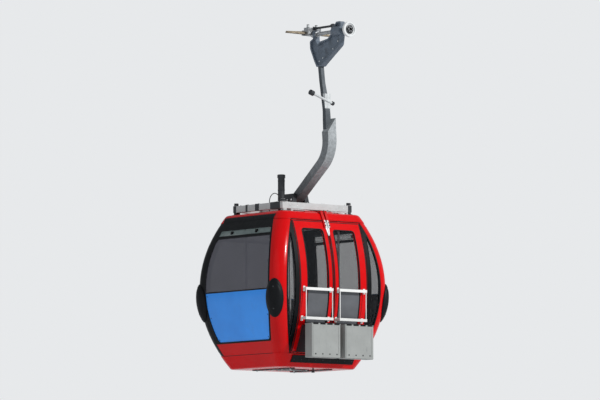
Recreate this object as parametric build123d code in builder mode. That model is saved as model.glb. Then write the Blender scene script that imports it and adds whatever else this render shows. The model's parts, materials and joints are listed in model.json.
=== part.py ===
"""Gondola cabin on its hanger: origin on the rope's axis in the jaws, X along the rope, doors at -Y."""
import math
import os

from build123d import *

os.makedirs("parts", exist_ok=True)

# Cabin body: widest at the waist, drawn in towards the roof and the floor
LENGTH = 2050
WIDTH = 1890
HEIGHT = 2200
WAIST = 1150
END_TOP_IN = 300
END_FOOT_IN = 330
SIDE_TOP_IN = 260
SIDE_FOOT_IN = 330
CORNER = 170
CORNER_LEVELS = 5
ROOF_EDGE = 80
FLOOR_EDGE = 40
WALL = 40
SEAM = 0.4
REACH = 2500

# Place of the cabin below the rope
ROPE_TO_ROOF = 2550
CABIN_Y = 420
Z_TOP = -ROPE_TO_ROOF
Z_BOTTOM = Z_TOP - HEIGHT
Z_WAIST = Z_BOTTOM + WAIST

# Heights above the cabin's bottom
PAN_TOP = 190
SKIRT_TOP = 360
DADO_TOP = 1080
ROOF_DEEP = 120
HEADER_TOP = HEIGHT - ROOF_DEEP
HEADER_TALL = 113
VENT_TOP = HEADER_TOP - HEADER_TALL
VENT_TALL = 87
VENT_LOW = VENT_TOP - VENT_TALL
VENT_RAIL = 30
GLASS_TOP = VENT_LOW - VENT_RAIL

# Window frames and what sits in them
FRAME_WIDE = 75
FRAME_SLIM = 30
FRAME_SILL = 14
PANE_CORNER = 45
PANE_SETBACK = 6
DADO_THICK = 12
GLASS_THICK = 8

# Floor
PAN_WALL = 60
PAN_BASE = 40
PLATE_THICK = 25
LEDGE = 40
TREAD_EDGE = 30
TREAD_RISE = 4

# Doors
MEETING_GAP = 14
QUARTER_WIDE = 408
JAMB = LENGTH / 2 - QUARTER_WIDE
LEAF_PLAY = 7
LEAF_EDGE = JAMB - LEAF_PLAY
LEAF_LOW = PAN_TOP + LEAF_PLAY
LEAF_SHY = 10
LEAF_HIGH = HEADER_TOP - LEAF_SHY
LIGHT_NEAR = 95
STILE = 140
LIGHT_FAR = LEAF_EDGE - STILE
LIGHT_LOW = 600
TOP_RAIL = 125
LIGHT_HIGH = LEAF_HIGH - TOP_RAIL

# Quarter lights beside the doors
QUARTER_LOW = 400
QUARTER_SHY = 30
QUARTER_HIGH = HEADER_TOP - QUARTER_SHY
QUARTER_RAIL = 170
QUARTER_MULLION = 60
QUARTER_EDGE = 20

# Door swing gear on the roof: two arms a leaf, their closed angle and pivots from the cabin's middle
ARM_LENGTH = 270
ARM_REST = -6
ARM_PIVOT_X = 500
PIVOT_INSET = 75
ARM_PIVOT_OUT = WIDTH / 2 - SIDE_TOP_IN - PIVOT_INSET
LINK_OFFSET = 170
LINK_ANGLE = -18
ARM_WIDE = 20
ARM_THICK = 10
EYE_RADIUS = 16
PIN_RADIUS = 8
PIN_HEAD = 4
PLAY = 0.3
ARM_RISE = 20
BRACKET_RISE = 8
BRACKET_GAP = 12
BRACKET_THICK = 10
BRACKET_LAP = 90
BRACKET_SHY = 6
BRACKET_MARGIN = 22
STRAP_NEAR = 14
STRAP_WIDE = 42

# Black strip under the doors and the release roller below it
STRIP_LOW = 62
STRIP_HIGH = 160
STRIP_SHY = 50
STRIP_HALF = LEAF_EDGE - STRIP_SHY
STRIP_THICK = 14
RELEASE_INSET = 145
RELEASE_OUT = WIDTH / 2 - SIDE_FOOT_IN - RELEASE_INSET
RELEASE_STEM = 11
RELEASE_RADIUS = 22
RELEASE_DROP = 60
RELEASE_TALL = 30

# Ski boxes on the leaves
BOX_NEAR = 42
BOX_SHY = 52
BOX_FAR = LEAF_EDGE - BOX_SHY
BOX_LOW = 115
BOX_HIGH = 590
BOX_GAP = 36
BOX_IN = WIDTH / 2 + BOX_GAP
BOX_DEPTH = 162
BOX_WALL = 8
BOX_SLOTS = 4
BOX_EDGE = 14
BOX_FOOT_EDGE = 12
BRACE_INSET = 40
BRACE_THICK = 8
BRACE_TOP_DROP = 10
BRACE_FOOT_RISE = 6

# Rack bars above the boxes: ends, place, section, heights and the posts that hold them
BAR_NEAR = 60
BAR_SHY = 60
BAR_FAR = LEAF_EDGE - BAR_SHY
BAR_GAP = 40
BAR_IN = WIDTH / 2 + BAR_GAP
BAR_HEIGHT = 38
BAR_THICK = 18
BAR_LEVELS = (672, 1085)
ROD_RADIUS = 7

# Benches: distance in from the end face at the waist, height, thickness and bend radius
BENCH_STATIONS = [
    (411, 193, 24, 0),
    (485, 600, 24, 60),
    (155, 585, 24, 70),
    (113, 1010, 24, 0),
]
BENCH_MARGIN = 60

# Grab poles inside: distance in from the faces, radius, foot flange and the rails under the ceiling
POLE_END_IN = 585
POLE_SIDE_IN = 445
POLE_X = LENGTH / 2 - POLE_END_IN
POLE_OUT = WIDTH / 2 - POLE_SIDE_IN
POLE_RADIUS = 16
POLE_FLANGE = (28, 8)
RAIL_RADIUS = 14
RAIL_DROP = 170
TREAD_GAP = 4
TREAD_HALF = POLE_X - POLE_FLANGE[0] - TREAD_GAP

# Corner bumpers, each an oval pad that faces outwards at 45 degrees, set a little towards the end face
BUMPER_TALL = 545
BUMPER_WIDE = 250
BUMPER_THICK = 58
BUMPER_LEVEL = 945
BUMPER_SHIFT = 46
BUMPER_FLAT = 160

# Roof frame and mast
FRAME_LENGTH = 1250
FRAME_WIDTH = 1130
FRAME_LOW = 40
FRAME_TALL = 92
FRAME_BEAM = 60
CROSS_AT = 130
LEG_IN = (45, 30)
LEG_SIZE = 60
KNOB_RADIUS = 30
KNOB_RISE = 42
MAST_RADIUS = 49
MAST_X = -320
MAST_OUT = 150
MAST_TALL = 420
MAST_CAP = (57, 45)
MAST_FLANGE = (80, 12)

# Hanger arm in two parts that meet in a slanted lap: centre line Y, Z, strip width and bend radius
FRAME_TOP = -ROPE_TO_ROOF + FRAME_LOW + FRAME_TALL
ARM_FOOT_PAST = 10
ARM_LOWER = [
    (CABIN_Y + ARM_FOOT_PAST, FRAME_TOP, 104, 0),
    (-440, -1735, 124, 420),
    (-388, -1130, 150, 0),
]
ARM_UPPER = [
    (-374, -1480, 70, 0),
    (-354, -1100, 66, 700),
    (-262, -700, 58, 700),
    (-228, -452, 60, 0),
]
ARM_HALF_LOW = 75
ARM_HALF_LAP = 46
ARM_HALF_TOP = 30
ARM_TAPER_LOW = -1240
ARM_TAPER_TOP = -720
ARM_TOP = -475.5
LAP_MIDDLE = -1320
LAP_SLOPE = 1.33

# Saddle that holds the arm on the roof frame
FOOT_IN = 70
FOOT_PIN_IN = 100
FOOT_PIN_RISE = 73
FOOT_PIN_RADIUS = 22
FOOT_HALF_LOW = 165
FOOT_HALF_TOP = 125
FOOT_TALL = 165
FOOT_DEEP = 240

# Cross bar on the arm: place, fall towards +X, its clamp and its end knobs
CROSSBAR_Y = -386
CROSSBAR_Z = -976
CROSSBAR_FALL = 18.5
CROSSBAR_RADIUS = 18
CLAMP_DEEP = 70
CLAMP_TALL = 210
CLAMP_HALF = 50
# Bar and end knobs, each from a place along the bar, with its length and radius
CROSSBAR_PARTS = [(-313, 409, CROSSBAR_RADIUS), (-339, 60, 37), (74, 34, 27)]

# Fork over the shaft, as an outline of Y, Z, corner radius
FORK_OUTLINE = [
    (-176, -475, 15), (-292, -475, 15), (-358, -428, 60), (-702, -205, 60), (-724, -60, 30),
    (-724, 130, 30), (-622, 130, 30), (-560, 70, 30), (-528, -5, 60), (-430, -92, 40),
    (-262, -118, 50), (-205, -160, 25), (-156, -90, 30), (-153, 40, 8), (-97, 40, 8),
    (-97, -64, 12), (-24, -100, 25), (-32, -205, 80), (-122, -385, 120),
]
FORK_THICK = 76
FORK_RIM = 24
FORK_WEB = 26
EAR_NEAR = (-153, -97, 52)
EAR_FAR = (-724, -536, 74)

# Grip on the rope: jaws, housing and shaft
ROPE_RADIUS = 23
JAW_LENGTH = 240
JAW_SPLIT = 8
JAW_JOINT = 1
JAW_FOOT = -15
JAW_OUT = 52
JAW_TALL = 74
JAW_ROUND = 16
HOUSING_OUT = 92
HOUSING_TALL = 108
HOUSING_ROUND = 12
SHAFT_RADIUS = 26
SHAFT_END = -905
WHEEL_INSET = 39
SHOULDER_RADIUS = 46

# Running wheel: hub and tread sections
WHEEL_Y = SHAFT_END + WHEEL_INSET
WHEEL_RADIUS = 110
WHEEL_THICK = 40
WHEEL_CHAMFER = 5
HUB_DEEP = 22
HUB_LONG = 64
WEB_THICK = 14
TREAD_DEEP = 24

# Clamp lever with its roller, and the tongues on the rope
LEVER_Z = 84
LEVER_RADIUS = 16
LEVER_END = -480
LEVER_BLOCK = (64, 48, 16)
ROLLER_RADIUS = 32
ROLLER_WIDE = 34
GUIDE_LENGTH = 320
GUIDE_ROOT = 20
GUIDE_TIP = 5
GUIDE_PLAY = 1
GUIDE_FOOT = 2

# Sketch planes through the cabin's middle: one looks along the rope, one looks at the doors
ALONG = Plane(origin=(0, CABIN_Y, 0), x_dir=(0, 1, 0), z_dir=(1, 0, 0))
FACING = Plane(origin=(0, CABIN_Y, 0), x_dir=(1, 0, 0), z_dir=(0, -1, 0))
ENDS = (LENGTH / 2, END_TOP_IN, END_FOOT_IN)
SIDES = (WIDTH / 2, SIDE_TOP_IN, SIDE_FOOT_IN)
SIDE_NAMES = {-1: "left", 1: "right"}
SEAT = CORNER + SEAM
HOUSING_FACE = HOUSING_OUT - JAW_SPLIT + JAW_JOINT


def level(height):
    """Z of a height above the cabin's bottom."""
    return Z_BOTTOM + height


def half_at(barrel, height):
    """Half width of a barrel profile at a height above the bottom."""
    half, top_in, foot_in = barrel
    rise = height - WAIST
    span, drawn = (HEIGHT - WAIST, top_in) if rise > 0 else (WAIST, foot_in)
    radius = (span ** 2 + drawn ** 2) / (2 * drawn)
    return half - radius + math.sqrt(radius ** 2 - rise ** 2)


def flank(barrel, side, shift):
    """Two arcs of the barrel's side, moved inwards by shift."""
    half, top_in, foot_in = barrel
    foot = half - shift
    TangentArc((side * foot, Z_WAIST), (side * (foot - top_in), Z_TOP), tangent=(0, 1))
    TangentArc((side * foot, Z_WAIST), (side * (foot - foot_in), Z_BOTTOM), tangent=(0, -1))


def area(barrel, low, high, cut=0, left_cut=None, right_cut=None, x_from=None, x_to=None, corner=0, rows=(0, -1)):
    """Part of a face, between its two flanks moved in by a cut and between two heights."""
    half, top_in, foot_in = barrel
    cuts = {-1: cut if left_cut is None else left_cut, 1: cut if right_cut is None else right_cut}
    start = -half if x_from is None else x_from
    end = half if x_to is None else x_to
    with BuildSketch() as face:
        with BuildLine():
            for side, inset in cuts.items():
                flank(barrel, side, inset)
            Line((cuts[-1] + top_in - half, Z_TOP), (half - top_in - cuts[1], Z_TOP))
            Line((cuts[-1] + foot_in - half, Z_BOTTOM), (half - foot_in - cuts[1], Z_BOTTOM))
        make_face()
        with Locations(((start + end) / 2, level((low + high) / 2))):
            Rectangle(end - start, high - low, mode=Mode.INTERSECT)
        if corner:
            levels = face.vertices().group_by(Axis.Y)
            fillet([vertex for row in rows for vertex in levels[row]], radius=corner)
    return face.sketch


def band(barrel, side, outer, inner, low, high):
    """Section of a wall between two depths behind the skin."""
    half, top_in, foot_in = barrel
    with BuildSketch() as strip:
        with BuildLine():
            for shift in (outer, inner):
                flank(barrel, side, shift)
            for drawn, z in ((top_in, Z_TOP), (foot_in, Z_BOTTOM)):
                Line((side * (half - outer - drawn), z), (side * (half - inner - drawn), z))
        make_face()
        with Locations((0, level((low + high) / 2))):
            Rectangle(4 * half, high - low, mode=Mode.INTERSECT)
    return strip.sketch


def wall(face, side, outer, inner, shape, openings=()):
    """A piece of wall on one face, with its outline and openings cut square to that face."""
    barrel, section_plane, face_plane = (ENDS, FACING, ALONG) if face == "end" else (SIDES, ALONG, FACING)
    section = band(barrel, side, outer, inner, 0, HEIGHT)
    with BuildPart() as piece:
        with BuildSketch(section_plane):
            add(section)
        extrude(amount=REACH, both=True)
        with BuildSketch(face_plane):
            add(shape)
        extrude(amount=REACH, both=True, mode=Mode.INTERSECT)
        for opening in openings:
            with BuildSketch(face_plane):
                add(opening)
            extrude(amount=REACH, both=True, mode=Mode.SUBTRACT)
    return piece.part


def block(shift, low, high, corner=0):
    """Solid with the cabin's form, moved in by shift, between two heights."""
    end_area = area(ENDS, low, high, cut=shift, x_from=-LENGTH, x_to=LENGTH)
    side_area = area(SIDES, low, high, cut=shift, x_from=-LENGTH, x_to=LENGTH)
    with BuildPart() as body:
        with BuildSketch(FACING):
            add(end_area)
        extrude(amount=REACH, both=True)
        with BuildSketch(ALONG):
            add(side_area)
        extrude(amount=REACH, both=True, mode=Mode.INTERSECT)
        if corner:
            uprights = [
                edge for edge in body.edges()
                if min(abs(edge.center().X), abs(edge.center().Y - CABIN_Y)) > LENGTH / 5
                and edge.bounding_box().size.Z > 1
            ]
            fillet(uprights, radius=corner)
    return body.part


def corner_shell(x_side, y_side, outer, inner, low, high, flat=0):
    """Shell round one corner, and some way along the end face, lofted below and above the waist."""
    start = {(1, 1): 0, (-1, 1): 90, (-1, -1): 180, (1, -1): 270}[x_side, y_side]
    end_side, door_side = (0, 1) if x_side == y_side else (1, 0)
    run = Vector(0, -y_side * flat)
    breaks = [low, WAIST, high] if low < WAIST < high else [low, high]
    with BuildPart() as shell:
        for foot, top in zip(breaks, breaks[1:]):
            for step in range(CORNER_LEVELS):
                height = foot + (top - foot) * step / (CORNER_LEVELS - 1)
                centre = Vector(
                    x_side * (half_at(ENDS, height) - CORNER),
                    CABIN_Y + y_side * (half_at(SIDES, height) - CORNER),
                )
                with BuildSketch(Plane.XY.offset(level(height))):
                    with BuildLine():
                        big = CenterArc(centre, CORNER + outer, start, 90)
                        small = CenterArc(centre, CORNER + inner, start, 90)
                        Line(big @ door_side, small @ door_side)
                        if flat:
                            Polyline(big @ end_side, big @ end_side + run, small @ end_side + run, small @ end_side)
                        else:
                            Line(big @ end_side, small @ end_side)
                    make_face()
            loft()
    return shell.part


def bumper(x_side, y_side):
    """Pad round one corner at the waist, cut to an upright oval that faces outwards at 45 degrees."""
    reach = BUMPER_TALL / 2 + BUMPER_THICK
    low, high = BUMPER_LEVEL - reach, BUMPER_LEVEL + reach
    centre = (
        x_side * (half_at(ENDS, BUMPER_LEVEL) - CORNER),
        CABIN_Y + y_side * (half_at(SIDES, BUMPER_LEVEL) - CORNER),
        level(BUMPER_LEVEL),
    )
    with BuildPart() as pad:
        add(corner_shell(x_side, y_side, BUMPER_THICK, SEAM, low, high, BUMPER_FLAT))
        with BuildSketch(Plane(origin=centre, x_dir=(x_side, -y_side, 0), z_dir=(x_side, y_side, 0))):
            with Locations((BUMPER_SHIFT, 0)):
                Ellipse(BUMPER_WIDE / 2, BUMPER_TALL / 2)
        extrude(amount=REACH, mode=Mode.INTERSECT)
    return pad.part


def strip(stations):
    """A strip in its plane, from stations of place, width and bend radius."""
    points = [Vector(x, y) for x, y, _, _ in stations]
    sides = {1: [], -1: []}
    radii = {1: [], -1: []}
    for index, (point, station) in enumerate(zip(points, stations)):
        before = (point - points[index - 1]).normalized() if index else None
        after = (points[index + 1] - point).normalized() if index < len(points) - 1 else None
        before = before or after
        after = after or before
        along = (before + after).normalized()
        normal = Vector(-along.Y, along.X)
        reach = station[2] / 2 / along.dot(after)
        turn = 1 if before.X * after.Y - before.Y * after.X > 0 else -1
        for side in sides:
            sides[side].append(point + normal * reach * side)
            radii[side].append(station[3] - side * turn * station[2] / 2)
    with BuildSketch() as shape:
        with BuildLine():
            for side, edge in sides.items():
                FilletPolyline(*edge, radius=radii[side][1:-1])
            Line(sides[1][0], sides[-1][0])
            Line(sides[1][-1], sides[-1][-1])
        make_face()
    return shape.sketch


def save(builder, label):
    """Write one finished piece."""
    builder.part.label = label
    export_step(builder.part, f"parts/{label}.step")


def swing(pivot_x, pivot_out, angle):
    """Place of an arm's far pin, measured from the middle towards the leaf's own side."""
    turn = math.radians(angle)
    return pivot_x - ARM_LENGTH * math.cos(turn), pivot_out + ARM_LENGTH * math.sin(turn)


# Pivots of the swing gear as distance from the middle and distance out
LINK_PIVOT_X = ARM_PIVOT_X - LINK_OFFSET * math.cos(math.radians(LINK_ANGLE))
LINK_PIVOT_OUT = ARM_PIVOT_OUT + LINK_OFFSET * math.sin(math.radians(LINK_ANGLE))
ARM_PIN = swing(ARM_PIVOT_X, ARM_PIVOT_OUT, ARM_REST)
LINK_PIN = swing(LINK_PIVOT_X, LINK_PIVOT_OUT, ARM_REST)
FIXED_PIVOTS = ((ARM_PIVOT_X, ARM_PIVOT_OUT), (LINK_PIVOT_X, LINK_PIVOT_OUT))

# Everything inside the door face, taken away from what stands in front of it
with BuildPart() as door_side:
    with BuildSketch(ALONG):
        with BuildLine():
            flank(SIDES, -1, -SEAM)
            Line((WIDTH, Z_TOP), (SIDE_TOP_IN - WIDTH / 2 - SEAM, Z_TOP))
            Line((WIDTH, Z_BOTTOM), (SIDE_FOOT_IN - WIDTH / 2 - SEAM, Z_BOTTOM))
            Line((WIDTH, Z_TOP), (WIDTH, Z_BOTTOM))
        make_face()
    extrude(amount=REACH, both=True)

# Grip housing with the fixed jaw and the shaft that carries the cabin
with BuildPart() as grip_body:
    with BuildSketch(Plane.YZ) as jaw_section:
        with Locations((JAW_SPLIT - JAW_JOINT, JAW_FOOT)):
            Rectangle(HOUSING_OUT, HOUSING_TALL, align=(Align.MAX, Align.MIN))
        fillet(jaw_section.vertices().group_by(Axis.Y)[0], radius=HOUSING_ROUND)
        Circle(ROPE_RADIUS, mode=Mode.SUBTRACT)
    extrude(amount=JAW_LENGTH / 2, both=True)
    for radius, end in ((SHAFT_RADIUS, -SHAFT_END), (SHOULDER_RADIUS, HOUSING_OUT)):
        with BuildSketch(Plane.XZ.offset(HOUSING_OUT / 2)):
            Circle(radius)
        extrude(amount=end - HOUSING_OUT / 2)
save(grip_body, "grip_body")

# Second jaw, on the inner side of the rope
with BuildPart() as grip_jaw:
    with BuildSketch(Plane.YZ) as jaw_section:
        with Locations((JAW_SPLIT, JAW_FOOT)):
            Rectangle(JAW_OUT, JAW_TALL, align=(Align.MIN, Align.MIN))
        fillet(jaw_section.vertices().group_by(Axis.X)[-1], radius=JAW_ROUND)
        Circle(ROPE_RADIUS, mode=Mode.SUBTRACT)
    extrude(amount=JAW_LENGTH / 2, both=True)
save(grip_jaw, "grip_jaw")

# Clamp lever over the shaft, with its foot on the housing and its roller
with BuildPart() as grip_lever:
    with BuildSketch(Plane.XZ.offset(HOUSING_FACE)):
        with Locations((0, LEVER_Z)):
            Circle(LEVER_RADIUS)
    extrude(amount=-LEVER_END - HOUSING_FACE)
    with BuildSketch(Plane.XZ.offset(-LEVER_END)):
        with Locations((0, LEVER_Z)):
            Circle(ROLLER_RADIUS)
    extrude(amount=ROLLER_WIDE)
    with BuildSketch(Plane.XZ.offset(HOUSING_FACE)):
        with Locations((0, LEVER_Z)):
            Rectangle(LEVER_BLOCK[0], LEVER_BLOCK[1])
    extrude(amount=LEVER_BLOCK[2])
save(grip_lever, "grip_lever")

# Tapered tongues that lie on the rope, ahead of and behind the jaws
with BuildPart() as rope_guides:
    for end in (-1, 1):
        with BuildSketch(Plane.YZ.offset(end * (JAW_LENGTH / 2 + SEAM))):
            Circle(ROPE_RADIUS + GUIDE_ROOT)
        with BuildSketch(Plane.YZ.offset(end * (JAW_LENGTH / 2 + GUIDE_LENGTH))):
            Circle(ROPE_RADIUS + GUIDE_TIP)
        loft()
    with BuildSketch(Plane.YZ):
        Circle(ROPE_RADIUS + GUIDE_PLAY)
        with Locations((0, GUIDE_FOOT)):
            Rectangle(6 * ROPE_RADIUS, 3 * ROPE_RADIUS, align=(Align.CENTER, Align.MAX))
    extrude(amount=REACH, both=True, mode=Mode.SUBTRACT)
save(rope_guides, "rope_guides")

# Running wheel on the shaft's outer end: hub, web and tread in one revolved section
with BuildPart() as running_wheel:
    with BuildSketch(Plane.XY) as wheel_section:
        bore = SHAFT_RADIUS + PLAY
        with Locations((bore, WHEEL_Y)):
            Rectangle(HUB_DEEP, HUB_LONG, align=(Align.MIN, Align.CENTER))
            Rectangle(WHEEL_RADIUS - bore - TREAD_DEEP / 2, WEB_THICK, align=(Align.MIN, Align.CENTER))
        with Locations((WHEEL_RADIUS, WHEEL_Y)):
            Rectangle(TREAD_DEEP, WHEEL_THICK, align=(Align.MAX, Align.CENTER))
        chamfer(wheel_section.vertices().group_by(Axis.X)[-1], length=WHEEL_CHAMFER)
    revolve(axis=Axis.Y)
save(running_wheel, "running_wheel")

# Fork: a ribbed casting that hangs on the shaft by two ears
with BuildSketch() as fork_shape:
    with BuildLine():
        Polyline(*[(y, z) for y, z, _ in FORK_OUTLINE], close=True)
    make_face()
    for y, z, bend in FORK_OUTLINE:
        corner = fork_shape.vertices().sort_by_distance((y, z, 0))[0]
        fillet(corner, radius=bend)
with BuildSketch() as fork_pocket:
    add(fork_shape.sketch)
    offset(amount=-FORK_RIM, kind=Kind.INTERSECTION, mode=Mode.REPLACE)
with BuildPart() as hanger_fork:
    with BuildSketch(Plane.YZ):
        add(fork_shape.sketch)
    extrude(amount=FORK_THICK / 2, both=True)
    for face_side in (-1, 1):
        with BuildSketch(Plane.YZ.offset(face_side * FORK_WEB / 2)):
            add(fork_pocket.sketch)
        extrude(amount=face_side * FORK_THICK, mode=Mode.SUBTRACT)
    for start, end, radius in (EAR_NEAR, EAR_FAR):
        with BuildSketch(Plane.XZ.offset(-end)):
            Circle(radius)
        extrude(amount=end - start)
    with BuildSketch(Plane.XZ):
        Circle(SHAFT_RADIUS + PLAY)
    extrude(amount=REACH, mode=Mode.SUBTRACT)
save(hanger_fork, "hanger_fork")

# Hanger arm: a wide curved beam up to a slanted lap, then a slim neck that tapers to the fork
arm_lower = strip(ARM_LOWER)
arm_upper = strip(ARM_UPPER)
lap_reach = REACH * LAP_SLOPE
neck_reach = ARM_HALF_LAP * LAP_SLOPE
foot_pin = (CABIN_Y - FOOT_PIN_IN, FRAME_TOP + FOOT_PIN_RISE)
with BuildPart() as hanger_arm:
    with BuildSketch(Plane.YZ):
        add(arm_lower)
    extrude(amount=ARM_HALF_LOW, both=True)
    with BuildSketch(Plane.XZ):
        with BuildLine():
            Polyline(
                (-REACH, LAP_MIDDLE - lap_reach), (REACH, LAP_MIDDLE + lap_reach), (-REACH, LAP_MIDDLE + lap_reach),
                close=True,
            )
        make_face()
    extrude(amount=REACH, both=True, mode=Mode.SUBTRACT)
    with BuildSketch(Plane.YZ):
        with Locations(foot_pin):
            Circle(FOOT_PIN_RADIUS + PLAY)
    extrude(amount=REACH, both=True, mode=Mode.SUBTRACT)
save(hanger_arm, "hanger_arm")

with BuildPart() as hanger_neck:
    with BuildSketch(Plane.YZ):
        add(arm_upper)
    extrude(amount=ARM_HALF_LAP, both=True)
    with BuildSketch(Plane.XZ):
        with BuildLine():
            Polyline(
                (-ARM_HALF_LAP, LAP_MIDDLE - neck_reach + SEAM),
                (-ARM_HALF_LAP, ARM_TAPER_LOW),
                (-ARM_HALF_TOP, ARM_TAPER_TOP),
                (-ARM_HALF_TOP, ARM_TOP),
                (ARM_HALF_TOP, ARM_TOP),
                (ARM_HALF_TOP, ARM_TAPER_TOP),
                (ARM_HALF_LAP, ARM_TAPER_LOW),
                (ARM_HALF_LAP, LAP_MIDDLE + neck_reach + SEAM),
                close=True,
            )
        make_face()
    extrude(amount=REACH, both=True, mode=Mode.INTERSECT)
save(hanger_neck, "hanger_neck")

# Saddle on the roof frame: two cheeks and the pin that holds the arm
with BuildPart() as hanger_foot:
    with BuildSketch(Plane.XZ.offset(FOOT_IN - CABIN_Y)):
        with BuildLine():
            Polyline(
                (-FOOT_HALF_LOW, FRAME_TOP),
                (FOOT_HALF_LOW, FRAME_TOP),
                (FOOT_HALF_TOP, FRAME_TOP + FOOT_TALL),
                (-FOOT_HALF_TOP, FRAME_TOP + FOOT_TALL),
                close=True,
            )
        make_face()
        Rectangle(2 * (ARM_HALF_LOW + SEAM), 4 * ROPE_TO_ROOF, mode=Mode.SUBTRACT)
    extrude(amount=FOOT_DEEP / 2, both=True)
    with BuildSketch(Plane.YZ):
        with Locations(foot_pin):
            Circle(FOOT_PIN_RADIUS)
    extrude(amount=FOOT_HALF_TOP, both=True)
save(hanger_foot, "hanger_foot")

# Cross bar that falls towards +X, with its end knobs, clamped to the outer side of the arm
fall = math.radians(CROSSBAR_FALL)
bar_plane = Plane(
    origin=(0, CROSSBAR_Y, CROSSBAR_Z), x_dir=(0, 1, 0), z_dir=(math.cos(fall), 0, -math.sin(fall))
)
with BuildPart() as hanger_crossbar:
    for start, length, radius in CROSSBAR_PARTS:
        with BuildSketch(bar_plane.offset(start)):
            Circle(radius)
        extrude(amount=length)
    with BuildSketch(Plane.YZ):
        with Locations((CROSSBAR_Y, CROSSBAR_Z)):
            Rectangle(CLAMP_DEEP, CLAMP_TALL, align=(Align.MIN, Align.CENTER))
    extrude(amount=CLAMP_HALF, both=True)
    with BuildSketch(Plane.YZ):
        add(arm_upper)
        offset(amount=SEAM, mode=Mode.REPLACE)
    extrude(amount=REACH, both=True, mode=Mode.SUBTRACT)
save(hanger_crossbar, "hanger_crossbar")

# Frame on the roof: a ring of beams, two cross beams, legs and corner knobs
with BuildPart() as roof_frame:
    with BuildSketch(Plane.XY.offset(Z_TOP + FRAME_LOW)):
        with Locations((0, CABIN_Y)):
            Rectangle(FRAME_LENGTH, FRAME_WIDTH)
            Rectangle(FRAME_LENGTH - 2 * FRAME_BEAM, FRAME_WIDTH - 2 * FRAME_BEAM, mode=Mode.SUBTRACT)
        with Locations((-CROSS_AT, CABIN_Y), (CROSS_AT, CABIN_Y)):
            Rectangle(FRAME_BEAM, FRAME_WIDTH - FRAME_BEAM)
    extrude(amount=FRAME_TALL)
    leg_x, leg_y = FRAME_LENGTH / 2 - LEG_IN[0], FRAME_WIDTH / 2 - LEG_IN[1]
    legs = [(x, CABIN_Y + y) for x in (-leg_x, leg_x) for y in (-leg_y, leg_y)]
    with BuildSketch(Plane.XY.offset(Z_TOP)):
        with Locations(*legs):
            Rectangle(LEG_SIZE, LEG_SIZE)
    extrude(amount=FRAME_LOW + FRAME_TALL / 2)
    knob_x = FRAME_LENGTH / 2 - KNOB_RADIUS
    knob_y = FRAME_WIDTH / 2 - KNOB_RADIUS
    with BuildSketch(Plane.XY.offset(Z_TOP + FRAME_LOW)):
        with Locations(*[(x, CABIN_Y + y) for x in (-knob_x, knob_x) for y in (-knob_y, knob_y)]):
            Circle(KNOB_RADIUS)
    extrude(amount=FRAME_TALL + KNOB_RISE)
save(roof_frame, "roof_frame")

# Mast that stands on the roof inside the frame: post, cap and foot flange
mast_top = FRAME_LOW + FRAME_TALL + MAST_TALL
with BuildPart() as roof_mast:
    for radius, low, high in (
        (MAST_RADIUS, 0, mast_top),
        (MAST_CAP[0], mast_top - MAST_CAP[1], mast_top),
        (MAST_FLANGE[0], 0, MAST_FLANGE[1]),
    ):
        with BuildSketch(Plane.XY.offset(Z_TOP + low)):
            with Locations((MAST_X, CABIN_Y - MAST_OUT)):
                Circle(radius)
        extrude(amount=high - low)
save(roof_mast, "roof_mast")

# Roof cap over the walls
with BuildPart() as roof_cap:
    add(block(0, 0, HEIGHT, CORNER))
    fillet(roof_cap.faces().sort_by(Axis.Z)[-1].edges(), radius=ROOF_EDGE)
    add(block(WALL, 0, HEIGHT - WALL, CORNER - WALL), mode=Mode.SUBTRACT)
    with Locations((0, CABIN_Y, level(HEADER_TOP))):
        Box(2 * LENGTH, 2 * LENGTH, 2 * HEIGHT, align=(Align.CENTER, Align.CENTER, Align.MAX), mode=Mode.SUBTRACT)
save(roof_cap, "roof_cap")

# Floor pan with a ledge for the floor plate
with BuildPart() as floor_pan:
    add(block(0, 0, PAN_TOP, CORNER))
    fillet(floor_pan.faces().sort_by(Axis.Z)[0].edges(), radius=FLOOR_EDGE)
    add(block(PAN_WALL + LEDGE, PAN_BASE, HEIGHT), mode=Mode.SUBTRACT)
    add(block(PAN_WALL, PAN_TOP - PLATE_THICK, HEIGHT), mode=Mode.SUBTRACT)
save(floor_pan, "floor_pan")

# Floor plate inside the pan, with a raised tread between the grab poles
tread_deep = half_at(SIDES, PAN_TOP) - PAN_WALL - TREAD_EDGE
with BuildPart() as floor_plate:
    add(block(PAN_WALL + SEAM, PAN_TOP - PLATE_THICK, PAN_TOP))
    with Locations((0, CABIN_Y, level(PAN_TOP - PLATE_THICK / 2))):
        Box(
            2 * TREAD_HALF, 2 * tread_deep, PLATE_THICK / 2 + TREAD_RISE,
            align=(Align.CENTER, Align.CENTER, Align.MIN),
        )
save(floor_plate, "floor_plate")

# Rounded corner pillars between floor pan and roof cap
for x_side in (-1, 1):
    for y_side, place in ((-1, "front"), (1, "back")):
        with BuildPart() as pillar:
            add(corner_shell(x_side, y_side, 0, -WALL, PAN_TOP + SEAM, HEADER_TOP - SEAM))
            if y_side < 0:
                with Locations((0, CABIN_Y - WIDTH / 2, Z_WAIST)):
                    Box(2 * JAMB, WIDTH, 2 * HEIGHT, mode=Mode.SUBTRACT)
        save(pillar, f"pillar_{place}_{SIDE_NAMES[x_side]}")

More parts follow.
